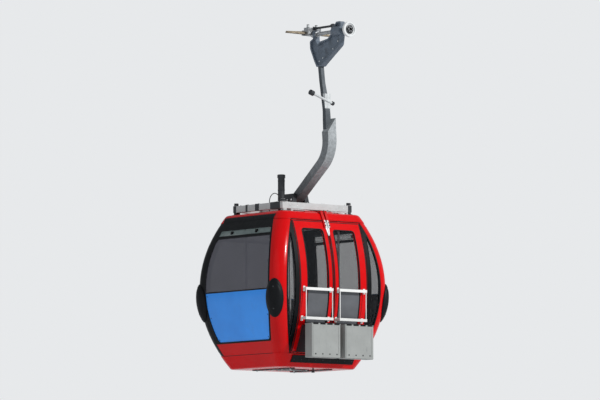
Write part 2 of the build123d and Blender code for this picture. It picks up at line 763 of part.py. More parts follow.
# Window walls of the two ends and the back: skirt, black frame, coloured panel, glass and vent
WINDOW_WALLS = (("end", -1, "end", "_left"), ("end", 1, "end", "_right"), ("side", 1, "back", ""))
for face, side, word, tail in WINDOW_WALLS:
    barrel = SIDES if face == "end" else ENDS
    near = SEAT + (FRAME_SLIM if face == "end" else FRAME_WIDE)
    far = SEAT + FRAME_WIDE
    lower_open = area(barrel, SKIRT_TOP + FRAME_SILL, GLASS_TOP, left_cut=near, right_cut=far, corner=PANE_CORNER)
    vent_open = area(barrel, VENT_LOW, VENT_TOP, left_cut=near, right_cut=far)
    skirt_area = area(barrel, PAN_TOP + SEAM, SKIRT_TOP - SEAM, cut=SEAT)
    with BuildPart() as skirt:
        add(wall(face, side, 0, WALL, skirt_area))
    save(skirt, f"{word}_skirt{tail}")
    frame_area = area(barrel, SKIRT_TOP, HEADER_TOP - SEAM, cut=SEAT)
    with BuildPart() as window_frame:
        add(wall(face, side, 0, WALL, frame_area, (lower_open, vent_open)))
    save(window_frame, f"{word}_frame{tail}")
    cuts = {"left_cut": near + SEAM, "right_cut": far + SEAM}
    dado_area = area(barrel, SKIRT_TOP + FRAME_SILL + SEAM, DADO_TOP, corner=PANE_CORNER, rows=(0,), **cuts)
    with BuildPart() as dado:
        add(wall(face, side, PANE_SETBACK, PANE_SETBACK + DADO_THICK, dado_area))
    save(dado, f"{word}_dado{tail}")
    glass_area = area(barrel, DADO_TOP + SEAM, GLASS_TOP - SEAM, corner=PANE_CORNER, rows=(-1,), **cuts)
    with BuildPart() as glass:
        add(wall(face, side, PANE_SETBACK, PANE_SETBACK + GLASS_THICK, glass_area))
    save(glass, f"{word}_glass{tail}")
    vent_area = area(barrel, VENT_LOW + SEAM, VENT_TOP - SEAM, **cuts)
    with BuildPart() as vent:
        add(wall(face, side, PANE_SETBACK, PANE_SETBACK + DADO_THICK, vent_area))
    save(vent, f"{word}_vent{tail}")

# Quarter lights between the front pillars and the door leaves, drawn in from their jamb by an inset
for side, name in SIDE_NAMES.items():
    shapes = []
    for inset, cut, low, high in (
        (0, SEAT, PAN_TOP + SEAM, QUARTER_HIGH),
        (QUARTER_MULLION, SEAT + QUARTER_EDGE, QUARTER_LOW, QUARTER_HIGH - QUARTER_RAIL),
        (QUARTER_MULLION + SEAM, SEAT + QUARTER_EDGE + SEAM, QUARTER_LOW + SEAM, QUARTER_HIGH - QUARTER_RAIL - SEAM),
    ):
        limits = sorted((side * (JAMB + inset), side * LENGTH))
        shapes.append(area(ENDS, low, high, cut=cut, x_from=limits[0], x_to=limits[1]))
    outline, opening, pane = shapes
    with BuildPart() as side_frame:
        add(wall("side", -1, 0, WALL, outline, (opening,)))
    save(side_frame, f"side_frame_{name}")
    with BuildPart() as side_glass:
        add(wall("side", -1, PANE_SETBACK, PANE_SETBACK + GLASS_THICK, pane))
    save(side_glass, f"side_glass_{name}")

# Benches along the two ends
for side, name in SIDE_NAMES.items():
    bench_shape = strip([
        (side * (LENGTH / 2 - inset), level(height), thick, bend) for inset, height, thick, bend in BENCH_STATIONS
    ])
    with BuildPart() as bench:
        with BuildSketch(FACING):
            add(bench_shape)
        extrude(amount=half_at(SIDES, PAN_TOP) - BENCH_MARGIN, both=True)
    save(bench, f"bench_{name}")

# Grab poles from the floor to the ceiling, with a rail between each pair
ceiling = Z_TOP - WALL - SEAM
pole_foot = level(PAN_TOP) + SEAM
with BuildPart() as grab_poles:
    for x in (-POLE_X, POLE_X):
        ends = [(x, CABIN_Y + y) for y in (-POLE_OUT, POLE_OUT)]
        for radius, low, tall in (
            (POLE_RADIUS, pole_foot, ceiling - pole_foot),
            (POLE_FLANGE[0], pole_foot, POLE_FLANGE[1]),
            (POLE_FLANGE[0], ceiling - POLE_FLANGE[1], POLE_FLANGE[1]),
        ):
            with BuildSketch(Plane.XY.offset(low)):
                with Locations(*ends):
                    Circle(radius)
            extrude(amount=tall)
        with BuildSketch(Plane.XZ.offset(-CABIN_Y)):
            with Locations((x, Z_TOP - RAIL_DROP)):
                Circle(RAIL_RADIUS)
        extrude(amount=POLE_OUT, both=True)
save(grab_poles, "grab_poles")

# Black rubber pads round the four corners at the waist
with BuildPart() as corner_bumpers:
    for x_side in (-1, 1):
        for y_side in (-1, 1):
            add(bumper(x_side, y_side))
save(corner_bumpers, "corner_bumpers")

# Black strip under the doors
with BuildPart() as door_strip:
    strip_area = area(ENDS, STRIP_LOW, STRIP_HIGH, x_from=-STRIP_HALF, x_to=STRIP_HALF)
    add(wall("side", -1, -STRIP_THICK, -SEAM, strip_area))
save(door_strip, "door_strip")

# Release roller that hangs under the floor at the door side
with BuildPart() as door_release:
    for start, length, radius in (
        (SEAM, RELEASE_DROP - SEAM, RELEASE_STEM),
        (RELEASE_DROP - RELEASE_TALL, RELEASE_TALL, RELEASE_RADIUS),
    ):
        with BuildSketch(Plane.XY.offset(Z_BOTTOM - start)):
            with Locations((0, CABIN_Y - RELEASE_OUT)):
                Circle(radius)
        extrude(amount=-length)
save(door_release, "door_release")

# Fixed pivot posts of the swing gear on the roof
with BuildPart() as door_posts:
    for side in SIDE_NAMES:
        for x, out in FIXED_PIVOTS:
            for radius, tall in ((EYE_RADIUS, ARM_RISE - PLAY), (PIN_RADIUS, ARM_RISE + ARM_THICK + PIN_HEAD)):
                with BuildSketch(Plane.XY.offset(Z_TOP)):
                    with Locations((side * x, CABIN_Y - out)):
                        Circle(radius)
                extrude(amount=tall)
save(door_posts, "door_posts")

# Each door: two roof arms, a bracket over the roof's edge, a leaf, glass, rack bars and ski box
plate_out = half_at(SIDES, HEIGHT) + BRACKET_GAP + BRACKET_THICK
eye_out = ARM_PIN[1] + BRACKET_MARGIN
plate_in = LINK_PIN[1] - BRACKET_MARGIN
plate_near = STRAP_NEAR
plate_wide = ARM_PIN[0] + BRACKET_MARGIN - plate_near
strap_at = STRAP_NEAR + STRAP_WIDE / 2
slot_wide = (BOX_FAR - BOX_NEAR - BOX_WALL) / BOX_SLOTS - BOX_WALL
box_tall = BOX_HIGH - BOX_LOW
for side, name in SIDE_NAMES.items():
    for label, pivot, pin in (("arm", FIXED_PIVOTS[0], ARM_PIN), ("link", FIXED_PIVOTS[1], LINK_PIN)):
        start = Vector(side * pivot[0], CABIN_Y - pivot[1])
        end = Vector(side * pin[0], CABIN_Y - pin[1])
        with BuildPart() as door_arm:
            with BuildSketch(Plane.XY.offset(Z_TOP + ARM_RISE)):
                with BuildLine():
                    Line(start, end)
                    offset(amount=ARM_WIDE / 2, side=Side.BOTH)
                make_face()
                with Locations(start, end):
                    Circle(EYE_RADIUS)
                    Circle(PIN_RADIUS + PLAY, mode=Mode.SUBTRACT)
            extrude(amount=ARM_THICK)
        save(door_arm, f"door_{label}_{name}")

    edges = sorted((side * MEETING_GAP / 2, side * LEAF_EDGE))
    light = sorted((side * LIGHT_NEAR, side * LIGHT_FAR))
    leaf_area = area(ENDS, LEAF_LOW, LEAF_HIGH, x_from=edges[0], x_to=edges[1])
    light_area = area(ENDS, LIGHT_LOW, LIGHT_HIGH, x_from=light[0], x_to=light[1], corner=PANE_CORNER)
    pane_area = area(
        ENDS, LIGHT_LOW + SEAM, LIGHT_HIGH - SEAM, x_from=light[0] + SEAM, x_to=light[1] - SEAM, corner=PANE_CORNER
    )
    strap_x = sorted((side * (strap_at - STRAP_WIDE / 2), side * (strap_at + STRAP_WIDE / 2)))
    strap_area = area(ENDS, LEAF_HIGH - BRACKET_LAP, HEIGHT, x_from=strap_x[0], x_to=strap_x[1])
    lap_area = area(ENDS, LEAF_HIGH - BRACKET_LAP, LEAF_HIGH - BRACKET_SHY, x_from=strap_x[0], x_to=strap_x[1])
    with BuildPart() as door_leaf:
        add(wall("side", -1, 0, WALL, leaf_area, (light_area,)))
    save(door_leaf, f"door_leaf_{name}")

    with BuildPart() as door_bracket:
        add(wall("side", -1, -BRACKET_GAP - BRACKET_THICK, -BRACKET_GAP, strap_area))
        add(wall("side", -1, -BRACKET_GAP - BRACKET_THICK / 2, -SEAM, lap_area))
        with BuildSketch(Plane.XY.offset(Z_TOP + BRACKET_RISE)):
            with Locations((side * (plate_near + plate_wide / 2), CABIN_Y - (plate_in + eye_out) / 2)):
                Rectangle(plate_wide, eye_out - plate_in)
            with Locations((side * strap_at, CABIN_Y - (plate_in + plate_out) / 2)):
                Rectangle(STRAP_WIDE, plate_out - plate_in)
        extrude(amount=BRACKET_THICK)
        with BuildSketch(Plane.XY.offset(Z_TOP - BRACKET_THICK / 4)):
            with Locations((side * strap_at, CABIN_Y - plate_out + BRACKET_THICK / 2)):
                Rectangle(STRAP_WIDE, BRACKET_THICK)
        extrude(amount=BRACKET_RISE + BRACKET_THICK)
        with BuildSketch(Plane.XY.offset(Z_TOP + BRACKET_RISE)):
            with Locations(*[(side * x, CABIN_Y - out) for x, out in (ARM_PIN, LINK_PIN)]):
                Circle(PIN_RADIUS)
        extrude(amount=ARM_RISE + ARM_THICK + PIN_HEAD - BRACKET_RISE)
    save(door_bracket, f"door_bracket_{name}")

    with BuildPart() as door_glass:
        add(wall("side", -1, PANE_SETBACK, PANE_SETBACK + GLASS_THICK, pane_area))
    save(door_glass, f"door_glass_{name}")

    box_centre = (side * (BOX_NEAR + BOX_FAR) / 2, CABIN_Y - BOX_IN - BOX_DEPTH / 2)
    with BuildPart() as ski_box:
        with Locations((*box_centre, level(BOX_LOW + box_tall / 2))):
            Box(BOX_FAR - BOX_NEAR, BOX_DEPTH, box_tall)
        fillet(ski_box.edges().filter_by(Axis.Z), radius=BOX_EDGE)
        fillet(ski_box.faces().sort_by(Axis.Z)[0].edges(), radius=BOX_FOOT_EDGE)
        with BuildSketch(Plane.XY.offset(level(BOX_HIGH))):
            with Locations(box_centre):
                with GridLocations(slot_wide + BOX_WALL, 0, BOX_SLOTS, 1):
                    Rectangle(slot_wide, BOX_DEPTH - 2 * BOX_WALL)
        extrude(amount=BOX_WALL - box_tall, mode=Mode.SUBTRACT)
        for x in (BOX_NEAR + BRACE_INSET, BOX_FAR - BRACE_INSET):
            brace_x = sorted((side * (x - BRACE_THICK / 2), side * (x + BRACE_THICK / 2)))
            brace_area = area(
                ENDS, LEAF_LOW + BRACE_FOOT_RISE, BOX_HIGH - BRACE_TOP_DROP, x_from=brace_x[0], x_to=brace_x[1]
            )
            with BuildSketch(FACING):
                add(brace_area)
            extrude(amount=BOX_IN + BOX_WALL / 2)
        add(door_side.part, mode=Mode.SUBTRACT)
    save(ski_box, f"ski_box_{name}")

    bar_ends = (BAR_NEAR + BAR_THICK / 2, BAR_FAR - BAR_THICK / 2)
    with BuildPart() as rack_bars:
        for height in BAR_LEVELS:
            with BuildSketch(Plane.XY.offset(level(height - BAR_HEIGHT / 2))):
                with Locations((side * (BAR_NEAR + BAR_FAR) / 2, CABIN_Y - BAR_IN - BAR_THICK / 2)):
                    Rectangle(BAR_FAR - BAR_NEAR, BAR_THICK)
                with Locations(*[(side * x, CABIN_Y - BAR_IN / 2) for x in bar_ends]):
                    Rectangle(BAR_THICK, BAR_IN)
            extrude(amount=BAR_HEIGHT)
        with BuildSketch(Plane.XY.offset(level(BAR_LEVELS[0]))):
            with Locations(*[(side * x, CABIN_Y - BAR_IN - BAR_THICK / 2) for x in bar_ends]):
                Circle(ROD_RADIUS)
        extrude(amount=BAR_LEVELS[1] - BAR_LEVELS[0])
        add(door_side.part, mode=Mode.SUBTRACT)
    save(rack_bars, f"rack_bars_{name}")
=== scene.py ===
"""Looks of the gondola cabin: materials, fittings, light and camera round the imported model, in metres."""
import json
import math

import bmesh
import bpy
from mathutils import Matrix, Vector


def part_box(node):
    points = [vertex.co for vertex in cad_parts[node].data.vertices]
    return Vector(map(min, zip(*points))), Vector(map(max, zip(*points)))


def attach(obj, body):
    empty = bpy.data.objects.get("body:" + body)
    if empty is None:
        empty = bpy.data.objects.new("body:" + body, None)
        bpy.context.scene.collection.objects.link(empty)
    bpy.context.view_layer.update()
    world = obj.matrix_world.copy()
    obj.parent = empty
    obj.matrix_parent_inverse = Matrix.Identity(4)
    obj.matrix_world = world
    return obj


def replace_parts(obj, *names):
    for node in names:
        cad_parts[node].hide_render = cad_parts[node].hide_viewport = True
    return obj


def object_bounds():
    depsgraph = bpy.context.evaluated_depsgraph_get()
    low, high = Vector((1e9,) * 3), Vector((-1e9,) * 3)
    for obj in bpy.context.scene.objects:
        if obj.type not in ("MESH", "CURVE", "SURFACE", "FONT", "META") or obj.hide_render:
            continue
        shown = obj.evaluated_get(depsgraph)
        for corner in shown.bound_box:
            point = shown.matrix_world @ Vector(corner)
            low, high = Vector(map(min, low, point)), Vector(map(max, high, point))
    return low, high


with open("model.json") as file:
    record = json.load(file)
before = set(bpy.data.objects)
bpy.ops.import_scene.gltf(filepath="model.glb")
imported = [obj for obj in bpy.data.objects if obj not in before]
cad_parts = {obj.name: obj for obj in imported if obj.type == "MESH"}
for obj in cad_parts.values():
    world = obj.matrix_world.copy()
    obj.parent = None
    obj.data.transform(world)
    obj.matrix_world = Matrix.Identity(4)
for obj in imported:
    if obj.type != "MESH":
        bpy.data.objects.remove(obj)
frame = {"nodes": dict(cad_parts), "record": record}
CAD_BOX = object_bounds()

# Cabin body, as the solids have it: a barrel with rounded corners. Ends and sides have a half width at
# the waist, and how far they draw in up to the roof and down to the foot
ENDS = (1.025, 0.3, 0.33)
SIDES = (0.945, 0.26, 0.33)
HEIGHT = 2.2
WAIST = 1.15
CORNER = 0.17
CABIN_Y = (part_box("roof_cap")[0].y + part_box("roof_cap")[1].y) / 2
Z_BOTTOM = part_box("floor_pan")[0].z
Z_TOP = Z_BOTTOM + HEIGHT
BODY_CORNERS = ((-1, -1), (-1, 1), (1, -1), (1, 1))

# Heights above the cabin's bottom
PAN_TOP = 0.19
SKIRT_TOP = 0.36
GLASS = (0.374, 1.85)
DADO_TOP = 1.08
VENT = (1.88, 1.967)
HEADER_TOP = 2.08
# Height of the black strips over the ends that stand in for shade on the roof's edge: painted shade
SHADE_STRIP_LEVEL = 2.119

# Window walls: face and side, cut beside the corners, frame widths, how far panes and linings sit back
WINDOW_WALLS = (("end", -1), ("end", 1), ("side", 1))
SEAT_CUT = 0.1704
FRAME_WIDE = 0.075
FRAME_SLIM = 0.03
PANE_BACK = -0.006
PANE_CORNER = 0.045
PANE_LAP = 0.012
LINING_BACK = -0.021
STUD_HEIGHTS = (0.41, 0.72, 1.03, 1.13, 1.47, 1.81)
VENT_RIB = [(-0.003, 0.0002), (-0.002, 0.003), (0.002, 0.003), (0.003, 0.0002)]

# Doors: sides and names, jamb and leaf, the leaf's window (near, far, low, high), and its straps
DOOR_SIDES = ((-1, "left"), (1, "right"))
JAMB = 0.617
LEAF_EDGE = 0.61
LEAF = (0.197, 2.07)
LIGHT = (0.095, 0.47, 0.6, 1.945)
# Height below which the straps' middle is painted bright along the meeting line: a painted highlight
STRAP_HIGHLIGHT_TOP = Z_BOTTOM + 2.085
STRAP_EDGE = 0.037
RED_STRAP = (0.55, 0.003, 0.005)
# Bright colour of that painted highlight
STRAP_HIGHLIGHT = (0.7, 0.69, 0.67)
EDGE_SOFT = 0.002

# Grey film in the leaf's window, bright plates where the leaves meet as painted highlight, and the inner
# handle's heights
FILM_GAP = 0.005
FILM_CORNER = 0.041
FILM_TOP = 1.072
PLATE_LOW = 1.86
PLATE_NECK = 1.978
GRAB = (0.95, 1.3)

# Ski boxes and rack bars on the leaves
BOX_DEPTH = 0.162
BOX_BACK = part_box("ski_box_left")[0].y + BOX_DEPTH
BOX_SLOTS = 4
BOX_WALL = 0.008
BAR_THICK = 0.018
BAR_LEVELS = (0.672, 1.085)

# Benches: seats on each and sewn channels of a cushion
SEATS = 4
CUSHION_CHANNELS = 3

# Roof frame, hanger beam and the cross bar on it
FRAME_TOP = 0.132
FRAME_CROSS = 0.13
RIVET_PITCH = 0.12
HANGER_HALF = (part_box("hanger_arm")[1].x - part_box("hanger_arm")[0].x) / 2
# Factor that darkens the hanger beam's side faces: painted shade
PAINTED_SIDE_SHADE = (0.62, 0.63, 0.64)
CROSSBAR_Y = -0.386
CROSSBAR_Z = -0.976
CROSSBAR_FALL = 18.5

# Oval bumpers: height, half height, half width, place round the corner, thickness in the middle and at
# the rim, the groove's and the screws' shares of the oval's radius, and where a corner's rounding ends
BUMPER_LEVEL = 0.945
BUMPER_RISE = 0.2725
BUMPER_HALF = 0.125
BUMPER_SHIFT = 0.046
BUMPER_THICK = 0.06
BUMPER_RIM = 0.007
BUMPER_GROOVE = 0.78
BUMPER_SCREW = 0.56
DIAGONAL = math.sqrt(0.5)

# Directions: outer is the side of the doors
UP = Vector((0, 0, 1))
DOWN = -UP
INNER = Vector((0, 1, 0))
OUTER = -INNER

# Sections of fasteners as (distance along the axis, radius), for a fastener of radius 1
WASHER_THICK = 0.25
WASHER = [(0, 1.7), (WASHER_THICK, 1.7)]
HEAD = [(0, 1.15), (0.85, 1.15), (1, 1)]
THREAD = [(0, 0.55), (1.3, 0.55)]
RIVET = [(0, 1), (0.25, 0.95), (0.45, 0.6), (0.52, 0.2)]
BOX_FACES = [(0, 2, 3, 1), (4, 5, 7, 6), (0, 1, 5, 4), (2, 6, 7, 3), (0, 4, 6, 2), (1, 3, 7, 5)]

# View of the photograph: the camera stands far off and below, at floor level
VIEW_AZIMUTH = -38.5
VIEW_ELEVATION = -3.8
VIEW_DISTANCE = 70
VIEW_LENS = 295
FLOOR_DROP = 0.05
FLOOR_SIZE = 400

# Light: colours of floor, backdrop and ambient light, and rows of sun (name, direction, strength, width)
FLOOR_PALE = (0.8, 0.81, 0.82)
BACKDROP = (0.8, 0.815, 0.83)
AMBIENT = (0.9, 0.95, 1.0)
AMBIENT_STRENGTH = 0.42
SUNS = (
    ("key", (0.42, -1.0, 0.62), 2.6, 0.1),
    ("fill", (-1.0, -0.35, 0.1), 0.28, 1.2),
)


def arc_at(barrel, height):
    """Radius of the body's barrel profile at a height above its bottom, and the rise above its waist."""
    _, top_in, foot_in = barrel
    rise = height - WAIST
    span, drawn = (HEIGHT - WAIST, top_in) if rise > 0 else (WAIST, foot_in)
    return (span ** 2 + drawn ** 2) / (2 * drawn), rise


def half_at(barrel, height):
    """Half width of the body's barrel profile at a height above its bottom."""
    radius, rise = arc_at(barrel, height)
    return barrel[0] - radius + math.sqrt(radius ** 2 - rise ** 2)


def corner_centre(x_side, y_side, height):
    """Middle of a corner's rounding at a height."""
    return Vector((
        x_side * (half_at(ENDS, height) - CORNER),
        CABIN_Y + y_side * (half_at(SIDES, height) - CORNER),
        Z_BOTTOM + height,
    ))


def new_object(name, data):
    thing = bpy.data.objects.new(name, data)
    bpy.context.scene.collection.objects.link(thing)
    return thing


def fill(node, values):
    """Set inputs of a shader node by name."""
    for key, value in values.items():
        node.inputs[key].default_value = value


def make_camera():
    """Long lens from the photograph's side, aimed at the middle of the whole object."""
    low, high = CAD_BOX
    turn, rise = math.radians(VIEW_AZIMUTH), math.radians(VIEW_ELEVATION)
    way = Vector((math.sin(turn) * math.cos(rise), -math.cos(turn) * math.cos(rise), math.sin(rise)))
    place = Vector((0, CABIN_Y, (Z_BOTTOM + Z_TOP) / 2)) + VIEW_DISTANCE * way
    data = bpy.data.cameras.new("camera")
    data.lens = VIEW_LENS
    data.clip_end = 4 * VIEW_DISTANCE
    camera = new_object("camera", data)
    camera.location = place
    camera.rotation_euler = ((low + high) / 2 - place).to_track_quat("-Z", "Y").to_euler()
    bpy.context.scene.camera = camera
    return camera


def make_stage(camera):
    """Pale floor just below the camera's level, pale surroundings, a key light from the right and a fill."""
    mesh = bpy.data.meshes.new("floor")
    half, level = FLOOR_SIZE / 2, camera.location.z - FLOOR_DROP
    mesh.from_pydata([(x * half, y * half, level) for x, y in BODY_CORNERS], [], [(0, 2, 3, 1)])
    floor = new_object("floor", mesh)
    paint = bpy.data.materials.new("floor_pale")
    paint.use_nodes = True
    fill(paint.node_tree.nodes["Principled BSDF"], {"Base Color": (*FLOOR_PALE, 1), "Roughness": 0.9})
    mesh.materials.append(paint)

    world = bpy.data.worlds.new("studio")
    world.use_nodes = True
    nodes, links = world.node_tree.nodes, world.node_tree.links
    nodes.clear()
    output = nodes.new("ShaderNodeOutputWorld")
    mix = nodes.new("ShaderNodeMixShader")
    path = nodes.new("ShaderNodeLightPath")
    seen = nodes.new("ShaderNodeBackground")
    fill(seen, {"Color": (*BACKDROP, 1)})
    lighting = nodes.new("ShaderNodeBackground")
    fill(lighting, {"Color": (*AMBIENT, 1), "Strength": AMBIENT_STRENGTH})
    links.new(path.outputs["Is Camera Ray"], mix.inputs["Fac"])
    links.new(lighting.outputs[0], mix.inputs[1])
    links.new(seen.outputs[0], mix.inputs[2])
    links.new(mix.outputs[0], output.inputs["Surface"])
    bpy.context.scene.world = world
    settings = bpy.context.scene.view_settings
    settings.view_transform = "Standard"
    settings.look = "None"

    for name, direction, strength, width in SUNS:
        light = bpy.data.lights.new(name, "SUN")
        light.energy = strength
        light.angle = width
        new_object(name, light).rotation_euler = Vector(direction).to_track_quat("Z", "Y").to_euler()


class Paint:
    """Small builder of a procedural material round one Principled shader."""

    def __init__(self, name, colour, roughness=0.5, metallic=0.0, coat=0.0, alpha=1.0, specular=0.5):
        self.material = bpy.data.materials.new(name)
        self.material.use_nodes = True
        self.tree = self.material.node_tree
        self.shader = self.tree.nodes["Principled BSDF"]
        self.colour = colour
        fill(self.shader, {
            "Base Color": (*colour, 1), "Roughness": roughness, "Metallic": metallic, "Alpha": alpha,
            "Coat Weight": coat, "Coat Roughness": 0.08, "Specular IOR Level": specular,
        })
        self.coords = self.node("ShaderNodeTexCoord")

    def node(self, kind, values=None):
        node = self.tree.nodes.new(kind)
        fill(node, values or {})
        return node

    def link(self, source, target):
        self.tree.links.new(source, target)

    def tint(self, colour):
        """Take a colour as the shader's base."""
        self.link(colour, self.shader.inputs["Base Color"])
        return colour

    def texture(self, kind, values, stretch=None):
        """Texture in object space; its scale counts features per metre."""
        node = self.node(kind, values)
        source = self.coords.outputs["Object"]
        if stretch:
            mapping = self.node("ShaderNodeMapping", {"Scale": stretch})
            self.link(source, mapping.inputs["Vector"])
            source = mapping.outputs["Vector"]
        self.link(source, node.inputs["Vector"])
        return node.outputs

    def noise(self, scale, detail, roughness=0.55, stretch=None):
        values = {"Scale": scale, "Detail": detail, "Roughness": roughness}
        return self.texture("ShaderNodeTexNoise", values, stretch)["Fac"]

    def wander(self, source, low, high, share):
        """Base colour, a share darker where a source is low and as much lighter where it is high."""
        node = self.node("ShaderNodeValToRGB")
        dark = [c * (1 - share) for c in self.colour]
        light = [min(1, c * (1 + share)) for c in self.colour]
        for element, position, colour in zip(node.color_ramp.elements, (low, high), (dark, light)):
            element.position = position
            element.color = (*colour, 1)
        self.link(source, node.inputs["Fac"])
        return node.outputs["Color"]

    def remap(self, source, low, high, to_low, to_high):
        values = {"From Min": low, "From Max": high, "To Min": to_low, "To Max": to_high}
        node = self.node("ShaderNodeMapRange", values)
        self.link(source, node.inputs["Value"])
        return node.outputs["Result"]

    def blend(self, factor, first, second, mode="MIX"):
        """Mix of two colours; each is a socket or a colour."""
        node = self.node("ShaderNodeMix")
        node.data_type = "RGBA"
        node.blend_type = mode
        self.link(factor, node.inputs["Factor"])
        sockets = [socket for socket in node.inputs if socket.type == "RGBA"]
        for value, socket in zip((first, second), sockets):
            if isinstance(value, bpy.types.NodeSocket):
                self.link(value, socket)
            else:
                socket.default_value = (*value, 1)
        return [socket for socket in node.outputs if socket.type == "RGBA"][0]

    def maths(self, operation, *sources):
        node = self.node("ShaderNodeMath")
        node.operation = operation
        for source, socket in zip(sources, node.inputs):
            self.link(source, socket)
        return node.outputs[0]

    def place(self, axis):
        """One coordinate in the part's frame, in metres."""
        split = self.node("ShaderNodeSeparateXYZ")
        self.link(self.coords.outputs["Object"], split.inputs["Vector"])
        return split.outputs[axis]

    def past(self, source, edge):
        """0 below an edge and 1 above it."""
        return self.remap(source, edge - EDGE_SOFT, edge + EDGE_SOFT, 0.0, 1.0)

    def off_middle(self, edge):
        """1 on what lies further than an edge from the middle plane, on both sides, and 0 between."""
        return self.past(self.maths("ABSOLUTE", self.place("X")), edge)

    def below(self, low, high):
        """1 below the low height and 0 above the high one."""
        return self.remap(self.place("Z"), low, high, 1.0, 0.0)

    def mottle(self, scale, share):
        """Base colour that wanders a little."""
        return self.tint(self.wander(self.noise(scale, 4.0), 0.3, 0.7, share))

    def grime(self, base, colour, scale, start, end, strength):
        """Patches of dirt over a base colour, where a noise is high."""
        mask = self.remap(self.noise(scale, 6.0, 0.65), start, end, 0.0, strength)
        return self.tint(self.blend(mask, base, colour))

    def bump(self, source, height, strength):
        """Relief of a height in metres."""
        node = self.node("ShaderNodeBump", {"Distance": height, "Strength": strength})
        self.link(source, node.inputs["Height"])
        self.link(node.outputs["Normal"], self.shader.inputs["Normal"])

    def finish(self, grain, gloss=None):
        """Material with the relief of a grain (scale, detail, height, strength and how the noise is
        stretched), and with roughness that wanders (scale, lowest, highest), where that is given.
        """
        if gloss:
            scale, low, high = gloss
            source = self.remap(self.noise(scale, 5.0), 0.3, 0.7, low, high)
            self.link(source, self.shader.inputs["Roughness"])
        scale, detail, height, strength, *stretch = grain
        self.bump(self.noise(scale, detail, stretch=stretch[0] if stretch else None), height, strength)
        return self.material


def coating(name, colour, mottle, grain, grime=(), gloss=None, blended=False, **shader):
    """Material from a short recipe: mottle is the scale and share of the colour's wandering, and grime
    has rows of colour, scale, start, end and strength.
    """
    paint = Paint(name, colour, **shader)
    base = paint.mottle(*mottle)
    for row in grime:
        base = paint.grime(base, *row)
    if blended:
        paint.material.surface_render_method = "BLENDED"
    return paint.finish(grain, gloss)


def tinted_acrylic(name, colour, alpha, specular=0.9):
    """Grey window sheet: see-through, slightly wavy and hazed."""
    return coating(
        name, colour, (3, 0.12), (4, 1.0, 0.001, 0.3), gloss=(11, 0.05, 0.16), blended=True,
        alpha=alpha, specular=specular,
    )


def red_gloss():
    """Glossy red shell paint with a faint ripple and road dust low down."""
    paint = Paint("red_gloss", (0.62, 0.0015, 0.003), coat=0.1, specular=0.14)
    base = paint.mottle(2.2, 0.06)
    dust = paint.remap(paint.noise(9, 6.0, 0.65), 0.48, 0.78, 0.0, 0.22)
    dust_low_down = paint.maths("MULTIPLY", dust, paint.below(Z_BOTTOM + 0.05, Z_BOTTOM + 0.7))
    paint.tint(paint.blend(dust_low_down, base, (0.34, 0.018, 0.014)))
    return paint.finish((3, 1.0, 0.0012, 0.35), (14, 0.17, 0.27))


def strap_paint_and_highlight():
    """Door straps: painted like the shell over the roof's edge; below it, by the meeting line, a bright
    colour as painted highlight.
    """
    paint = Paint("strap_paint_and_highlight", STRAP_HIGHLIGHT, specular=0.3)
    # Below the roof's edge the strap's middle takes the bright colour: painted highlight
    highlight_on_leaf = paint.below(STRAP_HIGHLIGHT_TOP - 0.004, STRAP_HIGHLIGHT_TOP + 0.004)
    colour = paint.blend(highlight_on_leaf, RED_STRAP, STRAP_HIGHLIGHT)
    paint.tint(paint.blend(paint.off_middle(STRAP_EDGE), colour, RED_STRAP))
    return paint.finish((120, 3.0, 0.0003, 0.5), (26, 0.28, 0.42))


def galvanised(name, colour, share, metallic, shade_below=None, shaded_side_edge=None):
    """Zinc coat with crystal patches and streaks; where asked, painted shade low down and painted shade on
    the side faces.
    """
    paint = Paint(name, colour, metallic=metallic)
    cells = paint.texture("ShaderNodeTexVoronoi", {"Scale": 38})["Color"]
    flakes = paint.wander(cells, 0.2, 0.8, share)
    streaks = paint.remap(paint.noise(5, 5.0, stretch=(4, 4, 0.5)), 0.4, 0.75, 0.0, 0.6)
    stained_and_shaded = paint.blend(streaks, flakes, tuple(c * 0.6 for c in colour))
    # Side faces darkened: painted shade
    if shaded_side_edge:
        stained_and_shaded = paint.blend(paint.off_middle(shaded_side_edge), stained_and_shaded, PAINTED_SIDE_SHADE, "MULTIPLY")
    # Near black low down, where the beam bends under: painted shade
    if shade_below:
        stained_and_shaded = paint.blend(paint.below(*shade_below), stained_and_shaded, (0.03, 0.034, 0.038))
    paint.tint(stained_and_shaded)
    return paint.finish((120, 3.0, 0.0004, 0.5), (30, 0.34, 0.58))


def ribbed_floor():
    paint = Paint("ribbed_floor", (0.3, 0.305, 0.31), metallic=0.6)
    paint.mottle(9, 0.2)
    paint.bump(paint.texture("ShaderNodeTexWave", {"Scale": 16})["Fac"], 0.002, 0.8)
    return paint.material


def box_sheet():
    """Light grey ski box sheet, scuffed by ski edges, with painted near-black shade on the braces behind the
    boxes.
    """
    paint = Paint("box_sheet", (0.3, 0.31, 0.298))
    base = paint.mottle(4, 0.07)
    scuffs = paint.remap(paint.noise(9, 6.0, 0.7, stretch=(7, 7, 0.6)), 0.6, 0.7, 0.0, 0.65)
    worn = paint.blend(scuffs, base, (0.16, 0.165, 0.17))
    # Braces behind the boxes painted near black: painted shade between box and leaf
    shade_behind = paint.past(paint.place("Y"), BOX_BACK)
    paint.tint(paint.blend(shade_behind, worn, (0.012, 0.013, 0.015)))
    return paint.finish((60, 3.0, 0.0005, 0.5), (16, 0.38, 0.58))


